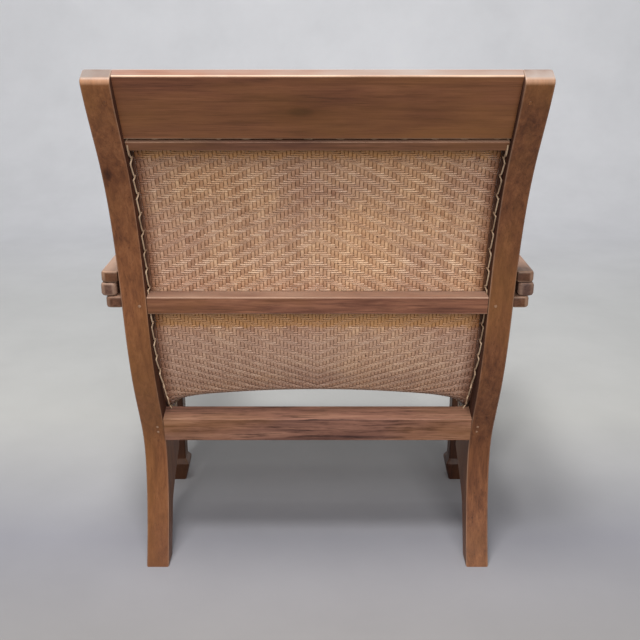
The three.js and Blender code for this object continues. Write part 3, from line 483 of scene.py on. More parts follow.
# From 0 to 1: dust with a painted sheen on faces that look up, wear with a painted highlight on edges, smoke,
# dark streaks, and painted shade towards the floor
def wood_finish(name, along, tones, gloss=0.45, figure_size=95.0, seed=0.0, dust_and_sheen=0.35, dust_and_sheen_tone=DUST_AND_SHEEN,
                dust_and_sheen_from=0.0, wear_and_highlight=0.3, smoke_amount=0.4, streaks=0.25, knots=False, floor_shade=1.0):
    """Waxed hardwood, with its grain along one axis."""
    material, tree, shader = new_material(name)
    place = coordinates(tree, "Object")
    where, facing = apart(tree, place), apart(tree, coordinates(tree, "Normal"))
    shift = [seed * step for step in SEED_STEPS]
    colour, fibres, pores = grain_layers(tree, place, along, tones, figure_size, shift, streaks)
    if knots:
        colour = add_knots(tree, colour, place, along, tones[0], shift)

    worn_place = stretched(tree, place, along, WORN_SQUEEZE, shift)
    handling = add_noise(tree, worn_place, HANDLING_SCALE, 4.0, Roughness=0.55)
    smoke = add_noise(tree, worn_place, SMOKE_SCALE, 6.0, Roughness=0.6)
    end_grain = add_range(tree, add_math(tree, "ABSOLUTE", facing[along]), 0.75, 0.95, 0.0, 0.75)
    unpolished_and_shaded = unpolished_shaded_faces(tree, where, facing)
    uneven_wear_and_highlight = add_range(tree, smoke, 0.4, 0.6, wear_and_highlight, wear_and_highlight * 0.3)
    layers = (
        ("MIX", add_range(tree, handling, 0.42, 0.68, 0.0, 0.6), GOLDEN),
        ("MULTIPLY", add_range(tree, smoke, 0.50, 0.72, 0.0, smoke_amount), SMOKE),
        ("MULTIPLY", end_grain, END_GRAIN),
        # Painted shade towards the floor
        ("MULTIPLY", add_range(tree, where["Z"], 0.0, FLOOR_SHADE_HEIGHT, floor_shade, 0.0), FLOOR_SHADE_TONE),
        # Painted shade on the posts' inner faces beside the sling
        ("MULTIPLY", unpolished_and_shaded, SHADED_INNER_FACE),
        # Dust on faces that look up, with a painted sheen of light on them
        ("MIX", dust_and_sheen_mask(tree, where, facing, handling, dust_and_sheen, dust_and_sheen_from), dust_and_sheen_tone),
        # Pale worn edges, with a painted highlight along them
        ("MIX", overlap(tree, add_attribute(tree, "edge"), uneven_wear_and_highlight), RUBBED_AND_HIGHLIGHT),
    )

    polish = spread_noise(tree, handling, gloss + 0.12, gloss - 0.06)
    fine = add_bump(tree, add_math(tree, "SUBTRACT", fibres, pores), 0.22, 0.0004)
    slow = add_bump(tree, add_noise(tree, place, SWELL_SCALE, 2.0), 0.45, 0.001, Normal=fine)
    feed(tree, shader, Base_Color=lay_over(tree, colour, layers), Specular_IOR_Level=SPECULAR,
         Roughness=add_math(tree, "MAXIMUM", polish, unpolished_and_shaded), Normal=slow)
    return material


# %% [markdown]
# ## Wooden pieces
# A plank that came off a bench has no knife-sharp edges. Each wooden solid is copied, its loose triangles are
# joined, flat regions are made single faces, and a narrow bevel rounds what is still sharp. The mesh carries
# a mark on these rounded edges, where the finish is rubbed away and a highlight is painted. Weighted normals
# then keep the broad faces flat in the light while the edges turn softly.

# %% Mark the rounded edges
# A face narrower than this belongs to a rounded edge, unless a broad face goes on in it
NARROW = 0.0032
SAME_PLANE = math.radians(3)
SPREAD_STEPS = 4


def mark_edges(piece):
    """Marks the corners that lie on rounded edges only, where the finish is rubbed away and a highlight is
    painted.
    """
    mesh = bmesh.new()
    mesh.from_mesh(piece.data)
    widths = [face.calc_area() / max(edge.calc_length() for edge in face.edges) for face in mesh.faces]
    narrow = [width < NARROW for width in widths]
    # A sliver beside a peg's hole is part of the broad face that it lies in
    flat_edges = [edge for edge in mesh.edges if edge.calc_face_angle(math.pi) < SAME_PLANE]
    for _ in range(SPREAD_STEPS):
        for edge in flat_edges:
            first, second = (face.index for face in edge.link_faces)
            if narrow[first] != narrow[second]:
                narrow[first] = narrow[second] = False
    marks = [float(all(narrow[face.index] for face in vertex.link_faces)) for vertex in mesh.verts]
    mesh.free()
    piece.data.attributes.new("edge", "FLOAT", "POINT").data.foreach_set("value", marks)


# %% Copy and ease a wooden solid
EASE = 0.0011
SMALL_EASE = 0.0008
EASE_STEPS = 2
MERGE_DISTANCE = 1e-5
FLAT_ANGLE = math.radians(0.6)
SHARP_ANGLE = math.radians(28)
SMOOTH_ANGLE = math.radians(50)


def eased_copy(node, material, body="frame", ease=EASE):
    """A finished piece that stands for one solid of the frame."""
    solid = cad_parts[node]
    piece = bpy.data.objects.new(node + "_finished", solid.data.copy())
    bpy.context.scene.collection.objects.link(piece)
    mesh = bmesh.new()
    mesh.from_mesh(piece.data)
    bmesh.ops.remove_doubles(mesh, verts=mesh.verts, dist=MERGE_DISTANCE)
    bmesh.ops.dissolve_limit(mesh, angle_limit=FLAT_ANGLE, verts=mesh.verts, edges=mesh.edges)
    mesh.to_mesh(piece.data)
    mesh.free()
    piece.data.materials.clear()
    piece.data.materials.append(material)
    bevel = piece.modifiers.new("ease", "BEVEL")
    bevel.width = ease
    bevel.segments = EASE_STEPS
    bevel.limit_method = "ANGLE"
    bevel.angle_limit = SHARP_ANGLE
    apply_modifiers(piece)
    mark_edges(piece)
    pick(piece)
    bpy.ops.object.shade_smooth_by_angle(angle=SMOOTH_ANGLE)
    weighted = piece.modifiers.new("flat_faces", "WEIGHTED_NORMAL")
    weighted.keep_sharp = True
    apply_modifiers(piece)
    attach(piece, body)
    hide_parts(node)
    print(piece.name, "faces:", len(piece.data.polygons))


# %% Posts and legs
SIDES = ("left", "right")
DUST_AND_SHEEN_TOP = 0.03
left_post_tones = (linear(98, 58, 35), linear(129, 80, 48), linear(148, 97, 62))
right_post_tones = (linear(81, 45, 26), linear(112, 68, 41), linear(135, 86, 54))
# The front legs' tones are darker, as painted shade
shaded_leg_tones = (linear(62, 36, 24), linear(86, 50, 34), linear(106, 66, 46))
near_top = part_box("back_post_left")[1][2] - DUST_AND_SHEEN_TOP
# The two posts differ: side, seed, tones, dust and painted sheen on the top, and painted shade at the foot
posts = (
    ("left", 1.0, left_post_tones, THIN_DUST_AND_SHEEN, 1.0),
    ("right", 2.6, right_post_tones, PALE_DUST_AND_SHEEN, 0.0),
)
for side, seed, post_tones, top_dust_and_sheen, floor_shade in posts:
    post_wood = wood_finish("post_wood_" + side, "Z", post_tones, gloss=0.44, seed=seed, dust_and_sheen=0.9,
                            dust_and_sheen_tone=top_dust_and_sheen, dust_and_sheen_from=near_top, smoke_amount=0.3, streaks=0.12,
                            knots=True, floor_shade=floor_shade)
    eased_copy("back_post_" + side, post_wood, ease=0.0016)
    shaded_leg_wood = wood_finish("shaded_leg_wood_" + side, "Z", shaded_leg_tones, gloss=0.42, seed=seed + 5)
    eased_copy("front_leg_" + side, shaded_leg_wood)

# %% Rails
rail_tones = (linear(80, 47, 35), linear(124, 79, 60), linear(158, 108, 82))
crest_tones = (linear(90, 53, 36), linear(122, 75, 52), linear(140, 90, 63))
crest_wood = wood_finish("crest_wood", "X", crest_tones, gloss=0.42, seed=4.0, figure_size=70, dust_and_sheen=0.85,
                         dust_and_sheen_tone=PALE_DUST_AND_SHEEN, wear_and_highlight=0.9, smoke_amount=0.3, knots=True)
eased_copy("crest_rail", crest_wood)
rail_wood = wood_finish("rail_wood", "X", rail_tones, gloss=0.46, seed=7.0, dust_and_sheen=0.55, wear_and_highlight=0.4, streaks=0.4,
                        knots=True)
for node in ("mid_back_rail", "front_seat_rail", "crest_cover_strip", "seat_batten"):
    eased_copy(node, rail_wood, ease=SMALL_EASE)
batten_tones = (linear(88, 55, 41), linear(119, 78, 58), linear(142, 98, 76))
batten_wood = wood_finish("batten_wood", "X", batten_tones, gloss=0.5, seed=17.0, figure_size=80)
eased_copy("crest_batten", batten_wood, ease=SMALL_EASE)
rear_tones = (linear(76, 48, 44), linear(146, 102, 84), linear(192, 146, 120))
rear_wood = wood_finish("rear_rail_wood", "X", rear_tones, gloss=0.58, seed=9.0, figure_size=44, dust_and_sheen=0.12,
                        wear_and_highlight=0.0, smoke_amount=0.9, streaks=0.85, knots=True)
eased_copy("rear_seat_rail", rear_wood, ease=0.0007)
seat_wood = wood_finish("seat_rail_wood", "Y", rail_tones, gloss=0.46, seed=11.0)
for side in SIDES:
    eased_copy("seat_rail_" + side, seat_wood)

# %% Arms
arm_tones = (linear(84, 52, 38), linear(118, 80, 60), linear(150, 108, 84))
rest_tones = (linear(88, 62, 54), linear(126, 96, 84), linear(158, 126, 112))
arm_wood = wood_finish("arm_wood", "Y", arm_tones, gloss=0.42, seed=13.0, dust_and_sheen=0.45, knots=True)
for side in SIDES:
    for node in ("arm_board_", "arm_spacer_", "arm_runner_"):
        eased_copy(node + side, arm_wood, ease=SMALL_EASE)
    rest_wood = wood_finish("leg_rest_wood_" + side, "Y", rest_tones, gloss=0.46, seed=15.0)
    eased_copy("leg_rest_" + side, rest_wood, body="leg_rest_" + side)

# %% [markdown]
# ## Woven cane
# The sling is a twill: each strand passes over three and under three of the other set, and each row starts
# one strand further along. The step turns back at the middle of the chair and at the middle rail, so that the
# slanting lines meet in nested diamonds. A flat picture of a weave shines in the wrong places, so every
# strand is a real, slightly domed ribbon that climbs over and dives under the others.

# %% Read the sling's shape from its solid
# The back skin is what turns away from the sitter and isn't the sheet's side, half a sheet from its middle
HALF_SHEET = 0.002
TO_SITTER = Vector((0, -1, 1)).normalized()
BACK_FACING = -0.3
SIDE_FACING = 0.9


def cane_skin():
    """Rows of places on the back skin of the sling, from the front rail up to the crest."""
    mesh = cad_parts["woven_seat"].data
    columns = {}
    for face in mesh.polygons:
        if face.normal.dot(TO_SITTER) > BACK_FACING or abs(face.normal.x) > SIDE_FACING:
            continue
        for index in face.vertices:
            place = mesh.vertices[index].co
            # The corners of one column have the same x to the millimetre
            key = round(place.x, 3)
            columns.setdefault(key, {})[(round(place.y, 4), round(place.z, 4))] = place.copy()
    ordered = [sorted(columns[key].values(), key=lambda place: place.y) for key in sorted(columns)]
    print("sling columns:", len(ordered), "rows:", sorted({len(column) for column in ordered}))
    return [list(row) for row in zip(*ordered)]


def travelled(route):
    """How far along the route each of its places lies."""
    return np.concatenate([[0], np.cumsum(np.linalg.norm(np.diff(route, axis=0), axis=1))])


def curve_at(places, share):
    """The place on a smooth curve through evenly numbered places."""
    share = min(max(share, 0.0), len(places) - 1.0)
    i = min(int(share), len(places) - 2)
    t = share - i
    before = places[i - 1] if i > 0 else places[i] * 2 - places[i + 1]
    after = places[i + 2] if i + 2 < len(places) else places[i + 1] * 2 - places[i]
    here, there = places[i], places[i + 1]
    return 0.5 * (2 * here + (there - before) * t + (2 * before - 5 * here + 4 * there - after) * t * t
                  + (3 * here - before - 3 * there + after) * t ** 3)


skin_rows = cane_skin()

# %% Lay out the crossings
WARP_PITCH = 0.0065
WEFT_PITCH = 0.0038
DENSE = 12


def evenly_across(row, count):
    """So many places across a row of the skin, evenly spread from one side to the other."""
    last = len(row) - 1
    shares = np.linspace(0, last, DENSE * last + 1)
    fine = np.array([curve_at(row, share) for share in shares])
    reach = np.linspace(fine[0, 0], fine[-1, 0], 2 * count + 1)[1::2]
    return [np.interp(reach, fine[:, 0], fine[:, axis]) for axis in range(3)]


def crossing_net(rows):
    """The place of every crossing on the sling's middle, and the direction square to it there."""
    lengths = [0.0]
    for near, far in zip(rows, rows[1:]):
        lengths.append(lengths[-1] + (far[0] - near[0]).length)
    wefts = int(lengths[-1] / WEFT_PITCH)
    warps = int((rows[0][-1].x - rows[0][0].x) / WARP_PITCH)
    strips = np.array([evenly_across(row, warps) for row in rows]).transpose(0, 2, 1)
    net = []
    row = 0
    for j in range(wefts):
        distance = (j + 0.5) * lengths[-1] / wefts
        while row < len(lengths) - 2 and lengths[row + 1] < distance:
            row += 1
        share = row + (distance - lengths[row]) / (lengths[row + 1] - lengths[row])
        net.append(curve_at(strips, share))
    net = np.array(net)
    across = np.gradient(net, axis=1)
    upwards = np.gradient(net, axis=0)
    backwards = np.cross(upwards, across)
    backwards /= np.linalg.norm(backwards, axis=2, keepdims=True)
    return net - backwards * HALF_SHEET, backwards


net, backwards = crossing_net(skin_rows)
WEFTS, WARPS = net.shape[:2]
print("crossings:", WEFTS, "rows of", WARPS, "strands")

# %% [markdown]
# ## One strand, then all of them
# A strand starts as a six-sided tube, one crossing long. It is repeated by an Array along its length, and
# its ends are filled. That straight ribbon is the pattern for every strand: a copy is flattened and laid
# along the crossings, and each ring of the ribbon rises or dips by half the depth of the weave. The floats
# swell a little in the middle, as stiff cane does. Two narrow strands close each edge up to the posts.

# %% Model a straight ribbon
RIBBON_SIDES = 6
RIBBON_MERGE = 0.001


def straight_ribbon(name, crossings):
    """A flat six-sided ribbon along X, one unit long for each crossing, one wide and one thick."""
    bpy.ops.object.select_all(action="DESELECT")
    bpy.ops.mesh.primitive_cylinder_add(vertices=RIBBON_SIDES, radius=0.5, depth=1, end_fill_type="NOTHING",
                                        location=(0.5, 0, 0), rotation=(0, math.pi / 2, 0))
    ribbon = bpy.context.object
    ribbon.name = name
    bpy.ops.object.transform_apply(location=True, rotation=True, scale=True)
    repeat = ribbon.modifiers.new("crossings", "ARRAY")
    repeat.count = crossings
    repeat.use_relative_offset = False
    repeat.use_constant_offset = True
    repeat.constant_offset_displace = (1, 0, 0)
    repeat.use_merge_vertices = True
    apply_modifiers(ribbon)
    bpy.ops.object.mode_set(mode="EDIT")
    bpy.ops.mesh.select_all(action="SELECT")
    bpy.ops.mesh.remove_doubles(threshold=RIBBON_MERGE)
    bpy.ops.mesh.select_all(action="DESELECT")
    bpy.ops.mesh.select_mode(type="EDGE")
    bpy.ops.mesh.select_non_manifold()
    bpy.ops.mesh.edge_face_add()
    bpy.ops.mesh.select_all(action="SELECT")
    bpy.ops.mesh.normals_make_consistent(inside=False)
    bpy.ops.object.mode_set(mode="OBJECT")
    bpy.ops.object.shade_smooth()
    ribbon.data.uv_layers.new(name="strand")
    ribbon.data.attributes.new("tone", "FLOAT", "POINT")
    return ribbon


warp_pattern = straight_ribbon("warp_pattern", WEFTS + 1)
weft_pattern = straight_ribbon("weft_pattern", WARPS + 1)
print("faces of one warp:", len(warp_pattern.data.polygons), "weft:", len(weft_pattern.data.polygons))

# %% Lay a copy along its route
random.seed(7)


def laid_copy(pattern, route, side, rise, width, thickness, tone):
    """A copy of the ribbon whose rings sit on the route, turned to face square to the sling."""
    strand = bpy.data.objects.new(pattern.name, pattern.data.copy())
    bpy.context.scene.collection.objects.link(strand)
    mesh = strand.data
    flat = np.empty(len(mesh.vertices) * 3)
    mesh.vertices.foreach_get("co", flat)
    flat = flat.reshape(-1, 3)
    ring = np.rint(flat[:, 0]).astype(int)
    along = np.gradient(route, axis=0)
    along /= np.linalg.norm(along, axis=1, keepdims=True)
    square = np.cross(along, side)
    square /= np.linalg.norm(square, axis=1, keepdims=True)
    across = np.cross(square, along)
    spots = route[ring] + across[ring] * (flat[:, 1:2] * width)
    spots += square[ring] * (flat[:, 2:3] * thickness + rise[ring][:, None])
    mesh.vertices.foreach_set("co", spots.astype(np.float32).ravel())
    mesh.attributes["tone"].data.foreach_set("value", np.full(len(flat), tone, dtype=np.float32))
    corners = np.empty(len(mesh.loops), dtype=np.int32)
    mesh.loops.foreach_get("vertex_index", corners)
    shares = np.stack([travelled(route)[ring[corners]], flat[corners, 1] * width], axis=1)
    mesh.uv_layers["strand"].data.foreach_set("uv", shares.astype(np.float32).ravel())
    mesh.update()
    return strand


def joined(strands, name):
    """All these strands as one piece."""
    bpy.ops.object.select_all(action="DESELECT")
    for strand in strands:
        strand.select_set(True)
    bpy.context.view_layer.objects.active = strands[0]
    bpy.ops.object.join()
    piece = bpy.context.object
    piece.name = name
    return piece


# %% Heights at the crossings
FLOAT_OVER = 3
REPEAT = 2 * FLOAT_OVER
HALF_DEPTH = 0.00062
FLOAT_SWELL = 0.00022
mid_rail_low, mid_rail_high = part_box("mid_back_rail")
MID_RAIL_HEIGHT = (mid_rail_low[2] + mid_rail_high[2]) / 2
TURN_ROW = int(np.argmin(abs(net[:, WARPS // 2, 2] - MID_RAIL_HEIGHT)))
TURN_COLUMN = (WARPS - 1) / 2


def weave_heights():
    """How far, at each crossing, the warp is moved to the sling's front, and the weft to its back."""
    rows = abs(np.arange(WEFTS) - TURN_ROW)[:, None]
    columns = np.floor(abs(np.arange(WARPS) - TURN_COLUMN))[None, :]
    step = (rows + columns) % REPEAT
    over = step < FLOAT_OVER
    middle = (step % FLOAT_OVER) == FLOAT_OVER // 2
    return np.where(over, 1.0, -1.0) * (HALF_DEPTH + np.where(middle, FLOAT_SWELL, 0.0))


warp_height = weave_heights()
print("the twill turns back at row", TURN_ROW, "and column", TURN_COLUMN)

# %% Warps and wefts
CANE_THICKNESS = 0.0010
WARP_WIDTH = WARP_PITCH * 1.03
WEFT_WIDTH = WEFT_PITCH * 0.98
# Strands differ in width, down to this share of the widest
NARROWEST_WARP = 0.96
NARROWEST_WEFT = 0.9
ACROSS_CHAIR = np.array([1.0, 0.0, 0.0])


def with_ends(row):
    """A row of crossings with half a step more at each end, where the strand is cut."""
    first = row[0] - (row[1] - row[0]) * 0.5
    last = row[-1] + (row[-1] - row[-2]) * 0.5
    return np.concatenate([first[None], row, last[None]])


def weave_warps(columns):
    """The strands that run from the front rail to the crest."""
    strands = []
    for i in columns:
        route = with_ends(net[:, i])
        rise = np.pad(-warp_height[:, i], 1)
        width = WARP_WIDTH * random.uniform(NARROWEST_WARP, 1.0)
        tone = random.random()
        strands.append(laid_copy(warp_pattern, route, ACROSS_CHAIR, rise, width, CANE_THICKNESS, tone))
    return strands


def weave_wefts(rows):
    """The strands that run from one post to the other."""
    strands = []
    upwards = np.gradient(net, axis=0)
    for j in rows:
        route, side = with_ends(net[j]), with_ends(upwards[j])
        rise = np.pad(-warp_height[j], 1)
        width = WEFT_WIDTH * random.uniform(NARROWEST_WEFT, 1.0)
        tone = random.random()
        strands.append(laid_copy(weft_pattern, route, side, rise, width, CANE_THICKNESS, tone))
    return strands


# %% Strands at the edges
EDGE_STRANDS = (0.0015, 0.0041)
EDGE_WIDTH = 0.0028
EDGE_THICKNESS = 0.0012
EDGE_RISE = 0.0003


def edge_strands():
    """Two narrow strands beyond each end of the wefts, which close the sling up to the posts."""
    strands = []
    for column, sign in ((0, -1.0), (WARPS - 1, 1.0)):
        for beyond in EDGE_STRANDS:
            route = with_ends(net[:, column])
            route[:, 0] += sign * (WARP_PITCH / 2 + beyond)
            rise = np.full(len(route), random.uniform(-EDGE_RISE, EDGE_RISE))
            strands.append(laid_copy(warp_pattern, route, ACROSS_CHAIR, rise, EDGE_WIDTH, EDGE_THICKNESS,
                                     random.random()))
    return strands


# %% Weave
half_warps, half_wefts = WARPS // 2, WEFTS // 2
cane_pieces = [
    joined(weave_warps(range(half_warps)), "cane_warps_right"),
    joined(weave_warps(range(half_warps, WARPS)), "cane_warps_left"),
    joined(weave_wefts(range(half_wefts)), "cane_wefts_lower"),
    joined(weave_wefts(range(half_wefts, WEFTS)), "cane_wefts_upper"),
    joined(edge_strands(), "cane_edge_strands"),
]
for pattern in (warp_pattern, weft_pattern):
    bpy.data.objects.remove(pattern)
print("cane faces:", [len(piece.data.polygons) for piece in cane_pieces])

# %% [markdown]
# ## Cane finish
# Split cane keeps its glossy skin on one side. With age it turns from straw to a brown tan, not evenly: each
# strand has its own tone, fine fibres run along it, and it is ochre where a rail has shaded it. It is darker
# beside the posts, towards the batten and on the underside, which is painted shade. The fibres follow each
# strand through its own UV map, whose first number is the distance along it.

# %% Patterns along a strand
STRAND_SQUEEZE = 0.09
STRAND_FIBRES = 1500.0
STRAND_PATCHES = 55.0
TONE_STEPS = 37.0


def strand_patterns(tree):
    """A strand's own tone, its fibres and its patches, which no two strands share."""
    tone = add_attribute(tree, "tone")
    strand_uv = tree.nodes.new("ShaderNodeUVMap")
    strand_uv.uv_map = "strand"
    on_strand = apart(tree, strand_uv.outputs["UV"])
    own_row = add_math(tree, "MULTIPLY", tone, TONE_STEPS)
    spot = add_node(tree, "ShaderNodeCombineXYZ", X=on_strand["X"], Y=on_strand["Y"], Z=own_row).outputs[0]
    fibres = add_noise(tree, stretched(tree, spot, "X", STRAND_SQUEEZE), STRAND_FIBRES, 3.0)
    return tone, fibres, add_noise(tree, spot, STRAND_PATCHES, 4.0)


# %% Shaded bands and specks
BATTEN_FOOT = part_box("crest_batten")[0][2]
BATTEN_BAND = (BATTEN_FOOT - 0.015, BATTEN_FOOT + 0.05)
MID_RAIL_BAND = (mid_rail_low[2] - 0.036, mid_rail_low[2] + 0.012)
SHADE_DEPTH = 0.8
SHADE_EDGE = 0.003
RAGGED = 0.005
SPECK_SCALE = 60.0
for band in (BATTEN_BAND, MID_RAIL_BAND):
    print("shaded from", round(band[0], 3), "to", round(band[1], 3), "metres")


def shaded_bands(tree, height, blotches, facing):
    """Masks of the ragged bands on the back that the batten and the middle rail have shaded."""
    ragged = add_math(tree, "ADD", height, spread_noise(tree, blotches, -RAGGED, RAGGED))
    on_back = add_range(tree, facing["Y"], -0.15, 0.15, 0.0, SHADE_DEPTH)
    masks = []
    for bottom, top in (BATTEN_BAND, MID_RAIL_BAND):
        above = add_range(tree, ragged, bottom - SHADE_EDGE, bottom + SHADE_EDGE)
        under = add_range(tree, ragged, top - SHADE_EDGE, top + SHADE_EDGE, 1.0, 0.0)
        masks.append(overlap(tree, above, under, on_back))
    return masks


def specks(tree, place, weather):
    """A mask of small dark specks, in some places only."""
    from_speck = add_node(tree, "ShaderNodeTexVoronoi", Vector=place, Scale=SPECK_SCALE).outputs["Distance"]
    return overlap(tree, add_range(tree, from_speck, 0.06, 0.14, 0.9, 0.0),
                   add_range(tree, weather, 0.55, 0.62))


# %% Cane material
WEATHER_SCALE = 5.0
BLOTCH_SCALE = 70.0
OWN_TONE = 0.22
PATTERN_TONE = 0.45
ROSE_FADE = 0.03
BATTEN_SHADE_REACH = 0.14
SLING_EDGE = abs(net[0, 0, 0])
EDGE_REACH = 0.018
GREYED = linear(228, 218, 226)
WARMED = linear(255, 240, 222)
ROSE = linear(186, 152, 134)
# Painted shade towards the batten, beside the posts and on the underside
BATTEN_SHADE = linear(218, 213, 208)
POST_SHADE = linear(196, 178, 168)
UNDERSIDE_SHADE = linear(150, 126, 112)
SPECK = linear(120, 92, 78)


def cane_finish(name, tones, shaded_tone, gloss):
    """Aged cane skin, with a tone for each strand and fibres along it."""
    material, tree, shader = new_material(name)
    tone, fibres, patches = strand_patterns(tree)
    place = coordinates(tree, "Object")
    where, facing = apart(tree, place), apart(tree, coordinates(tree, "Normal"))
    weather = add_noise(tree, place, WEATHER_SCALE, 5.0, Roughness=0.6)
    blotches = add_noise(tree, place, BLOTCH_SCALE, 4.0, Roughness=0.65)

    mixed_tone = add_math(tree, "MULTIPLY", tone, OWN_TONE)
    for pattern in (patches, blotches):
        mixed_tone = add_math(tree, "ADD", mixed_tone, add_math(tree, "MULTIPLY", pattern, PATTERN_TONE))
    dark, middle, light = tones
    skin = add_ramp(tree, mixed_tone, [(0.34, dark), (0.55, middle), (0.78, light)])

    height, rail_shade = where["Z"], MID_RAIL_BAND[0]
    beside_post = add_range(tree, add_math(tree, "ABSOLUTE", where["X"]), SLING_EDGE - EDGE_REACH, SLING_EDGE)
    layers = (
        ("MULTIPLY", 1.0, spread_noise(tree, fibres, 0.84, 1.1)),
        ("MULTIPLY", add_range(tree, weather, 0.42, 0.6, 0.8, 0.0), GREYED),
        ("MULTIPLY", add_range(tree, weather, 0.5, 0.66, 0.0, 0.5), WARMED),
        ("MIX", add_range(tree, height, rail_shade - ROSE_FADE, rail_shade, 0.4, 0.0), ROSE),
        # Painted shade towards the batten
        ("MULTIPLY", add_range(tree, height, BATTEN_FOOT - BATTEN_SHADE_REACH, BATTEN_FOOT), BATTEN_SHADE),
        *[("MIX", band, shaded_tone) for band in shaded_bands(tree, height, blotches, facing)],
        # Painted shade beside the posts
        ("MULTIPLY", beside_post, POST_SHADE),
        # Painted shade on the underside, where the surface faces down
        ("MULTIPLY", add_range(tree, facing["Z"], -0.55, -0.95), UNDERSIDE_SHADE),
        ("MULTIPLY", specks(tree, place, weather), SPECK),
    )
    feed(tree, shader, Base_Color=lay_over(tree, skin, layers), Normal=add_bump(tree, fibres, 0.35, 0.0002),
         Roughness=spread_noise(tree, patches, gloss + 0.1, gloss - 0.06))
    return material


# %% Finish the cane
warp_tones = (linear(176, 130, 97), linear(210, 166, 129), linear(234, 194, 156))
# The wefts are a little paler than the warps, as a painted highlight
highlit_weft_tones = (linear(180, 138, 106), linear(220, 178, 143), linear(248, 213, 178))
# The edge strands are darker, as painted shade from the posts beside them
shaded_edge_tones = (linear(118, 86, 64), linear(152, 116, 90), linear(182, 144, 114))
warp_finish = cane_finish("cane_warp", warp_tones, linear(184, 132, 78), 0.46)
weft_finish = cane_finish("cane_weft", highlit_weft_tones, linear(186, 134, 82), 0.40)
shaded_edge_finish = cane_finish("cane_edge", shaded_edge_tones, linear(96, 68, 44), 0.6)
for piece, finish in zip(cane_pieces, (warp_finish, warp_finish, weft_finish, weft_finish, shaded_edge_finish)):
    piece.data.materials.clear()
    piece.data.materials.append(finish)
    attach(piece, "frame")
    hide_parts("woven_seat")

# %% Say what the sling is
print("sling length in metres:", round(float(travelled(net[:, WARPS // 2])[-1]), 4))

# %% [markdown]
# ## Lacing
# A cream cotton cord ties the edge strands to the posts. Each stitch comes out between them, slants up and
# back along the post's inner face towards its rear corner, and ends in a short hook from which it dives back
# into the edge. The last stitch climbs over the end of the batten. A second, thinner cord sews the top of the
# weave, and shows as short bits in the gap over the batten. A cord is one tube along a route of many points,
# which a curve with a round bevel gives at once, and it then becomes a mesh.

# %% Shape of a stitch
CORD_RADIUS = 0.00135
STITCH = 0.036
LACE_OFF = 0.0002
# The share of a stitch by which it starts early or late, and the place in the gap where it passes the batten
UNEVEN = 0.04
ACROSS_BATTEN = 0.8
# Along the stitch, across the gap from weave to post, and back from the weave
STITCH_SHAPE = (
    (0.0, 0.76, 0.001),
    (0.03, 0.84, 0.0090),
    (0.12, 0.90, 0.0120),
    (0.45, 0.96, 0.0138),
    (0.80, 1.0, 0.0158),
    (0.92, 1.0, 0.0175),
    (0.965, 0.95, 0.0165),
    (0.985, 0.86, 0.0110),
)


# %% Route of a side cord
def batten_thickness(place, square):
    """How far the batten's back face stands from the middle of the weave."""
    corners = [np.array(vertex.co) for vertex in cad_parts["crest_batten"].data.vertices]
    return max(float(np.dot(corner - place, square)) for corner in corners)


def lacing_route(side):
    """The points of the cord, from the front rail to the crest, in the gap beside the post."""
    column, sign = (WARPS - 1, 1.0) if side == "left" else (0, -1.0)
    edge, square = net[:, column], backwards[:, column]
    gap = INNER_FACE - CORD_RADIUS - LACE_OFF - abs(edge[0, 0])
    outward = np.array([sign, 0, 0])
    distances = travelled(edge)
    points = []
    stitches = int((distances[-1] - STITCH) / STITCH)
    for stitch in range(stitches):
        start = STITCH * (stitch + 0.5) + random.uniform(-UNEVEN, UNEVEN) * STITCH
        for share, across, back in STITCH_SHAPE:
            j = min(int(np.searchsorted(distances, start + share * STITCH)), len(edge) - 1)
            points.append(edge[j] + outward * gap * across + square[j] * back)
    batten_low, batten_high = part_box("crest_batten")
    under = int(np.argmin(abs(edge[:, 2] - batten_low[2]))) - 1
    over = int(np.argmin(abs(edge[:, 2] - batten_high[2]))) + 1
    back = batten_thickness(edge[over], square[over]) + CORD_RADIUS
    for j in (under, (under + over) // 2, over):
        points.append(edge[j] + outward * gap * ACROSS_BATTEN + square[j] * back)
    points.append(edge[over + 1] + outward * gap * ACROSS_BATTEN)
    return points


# %% Cord in the gap over the batten
GAP_CORD_RADIUS = 0.0008
GAP_STITCH = 0.046
SHORTEST_BIT = 0.6
# The cord is sewn through the row of weave that lies this high over the crest rail's lowest edge
GAP_HEIGHT = 0.0050
# Along the bit, and back from the weave
GAP_SHAPE = ((0.0, 0.0014), (0.12, 0.0100), (0.2, 0.0125), (0.42, 0.0125), (0.5, 0.0100), (0.62, 0.0014))


def gap_route():
    """The points of the thin cord in the gap between crest rail and batten."""
    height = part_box("crest_rail")[0][2] + GAP_HEIGHT
    row = int(np.argmin(abs(net[:, WARPS // 2, 2] - height)))
    reach = net[row, WARPS - 1, 0]
    stitches = int(2 * reach / GAP_STITCH)
    points = []
    for stitch in range(stitches):
        length = GAP_STITCH * random.uniform(SHORTEST_BIT, 1.0)
        for share, back in GAP_SHAPE:
            x = -reach + stitch * 2 * reach / stitches + share * length
            i = int(np.argmin(abs(net[row, :, 0] - x)))
            points.append(np.array([x, *net[row, i, 1:]]) + backwards[row, i] * back)
    return points


# %% Cords from their routes
ROUND_STEPS = 2
POINT_STEPS = 3
NURBS_ORDER = 4


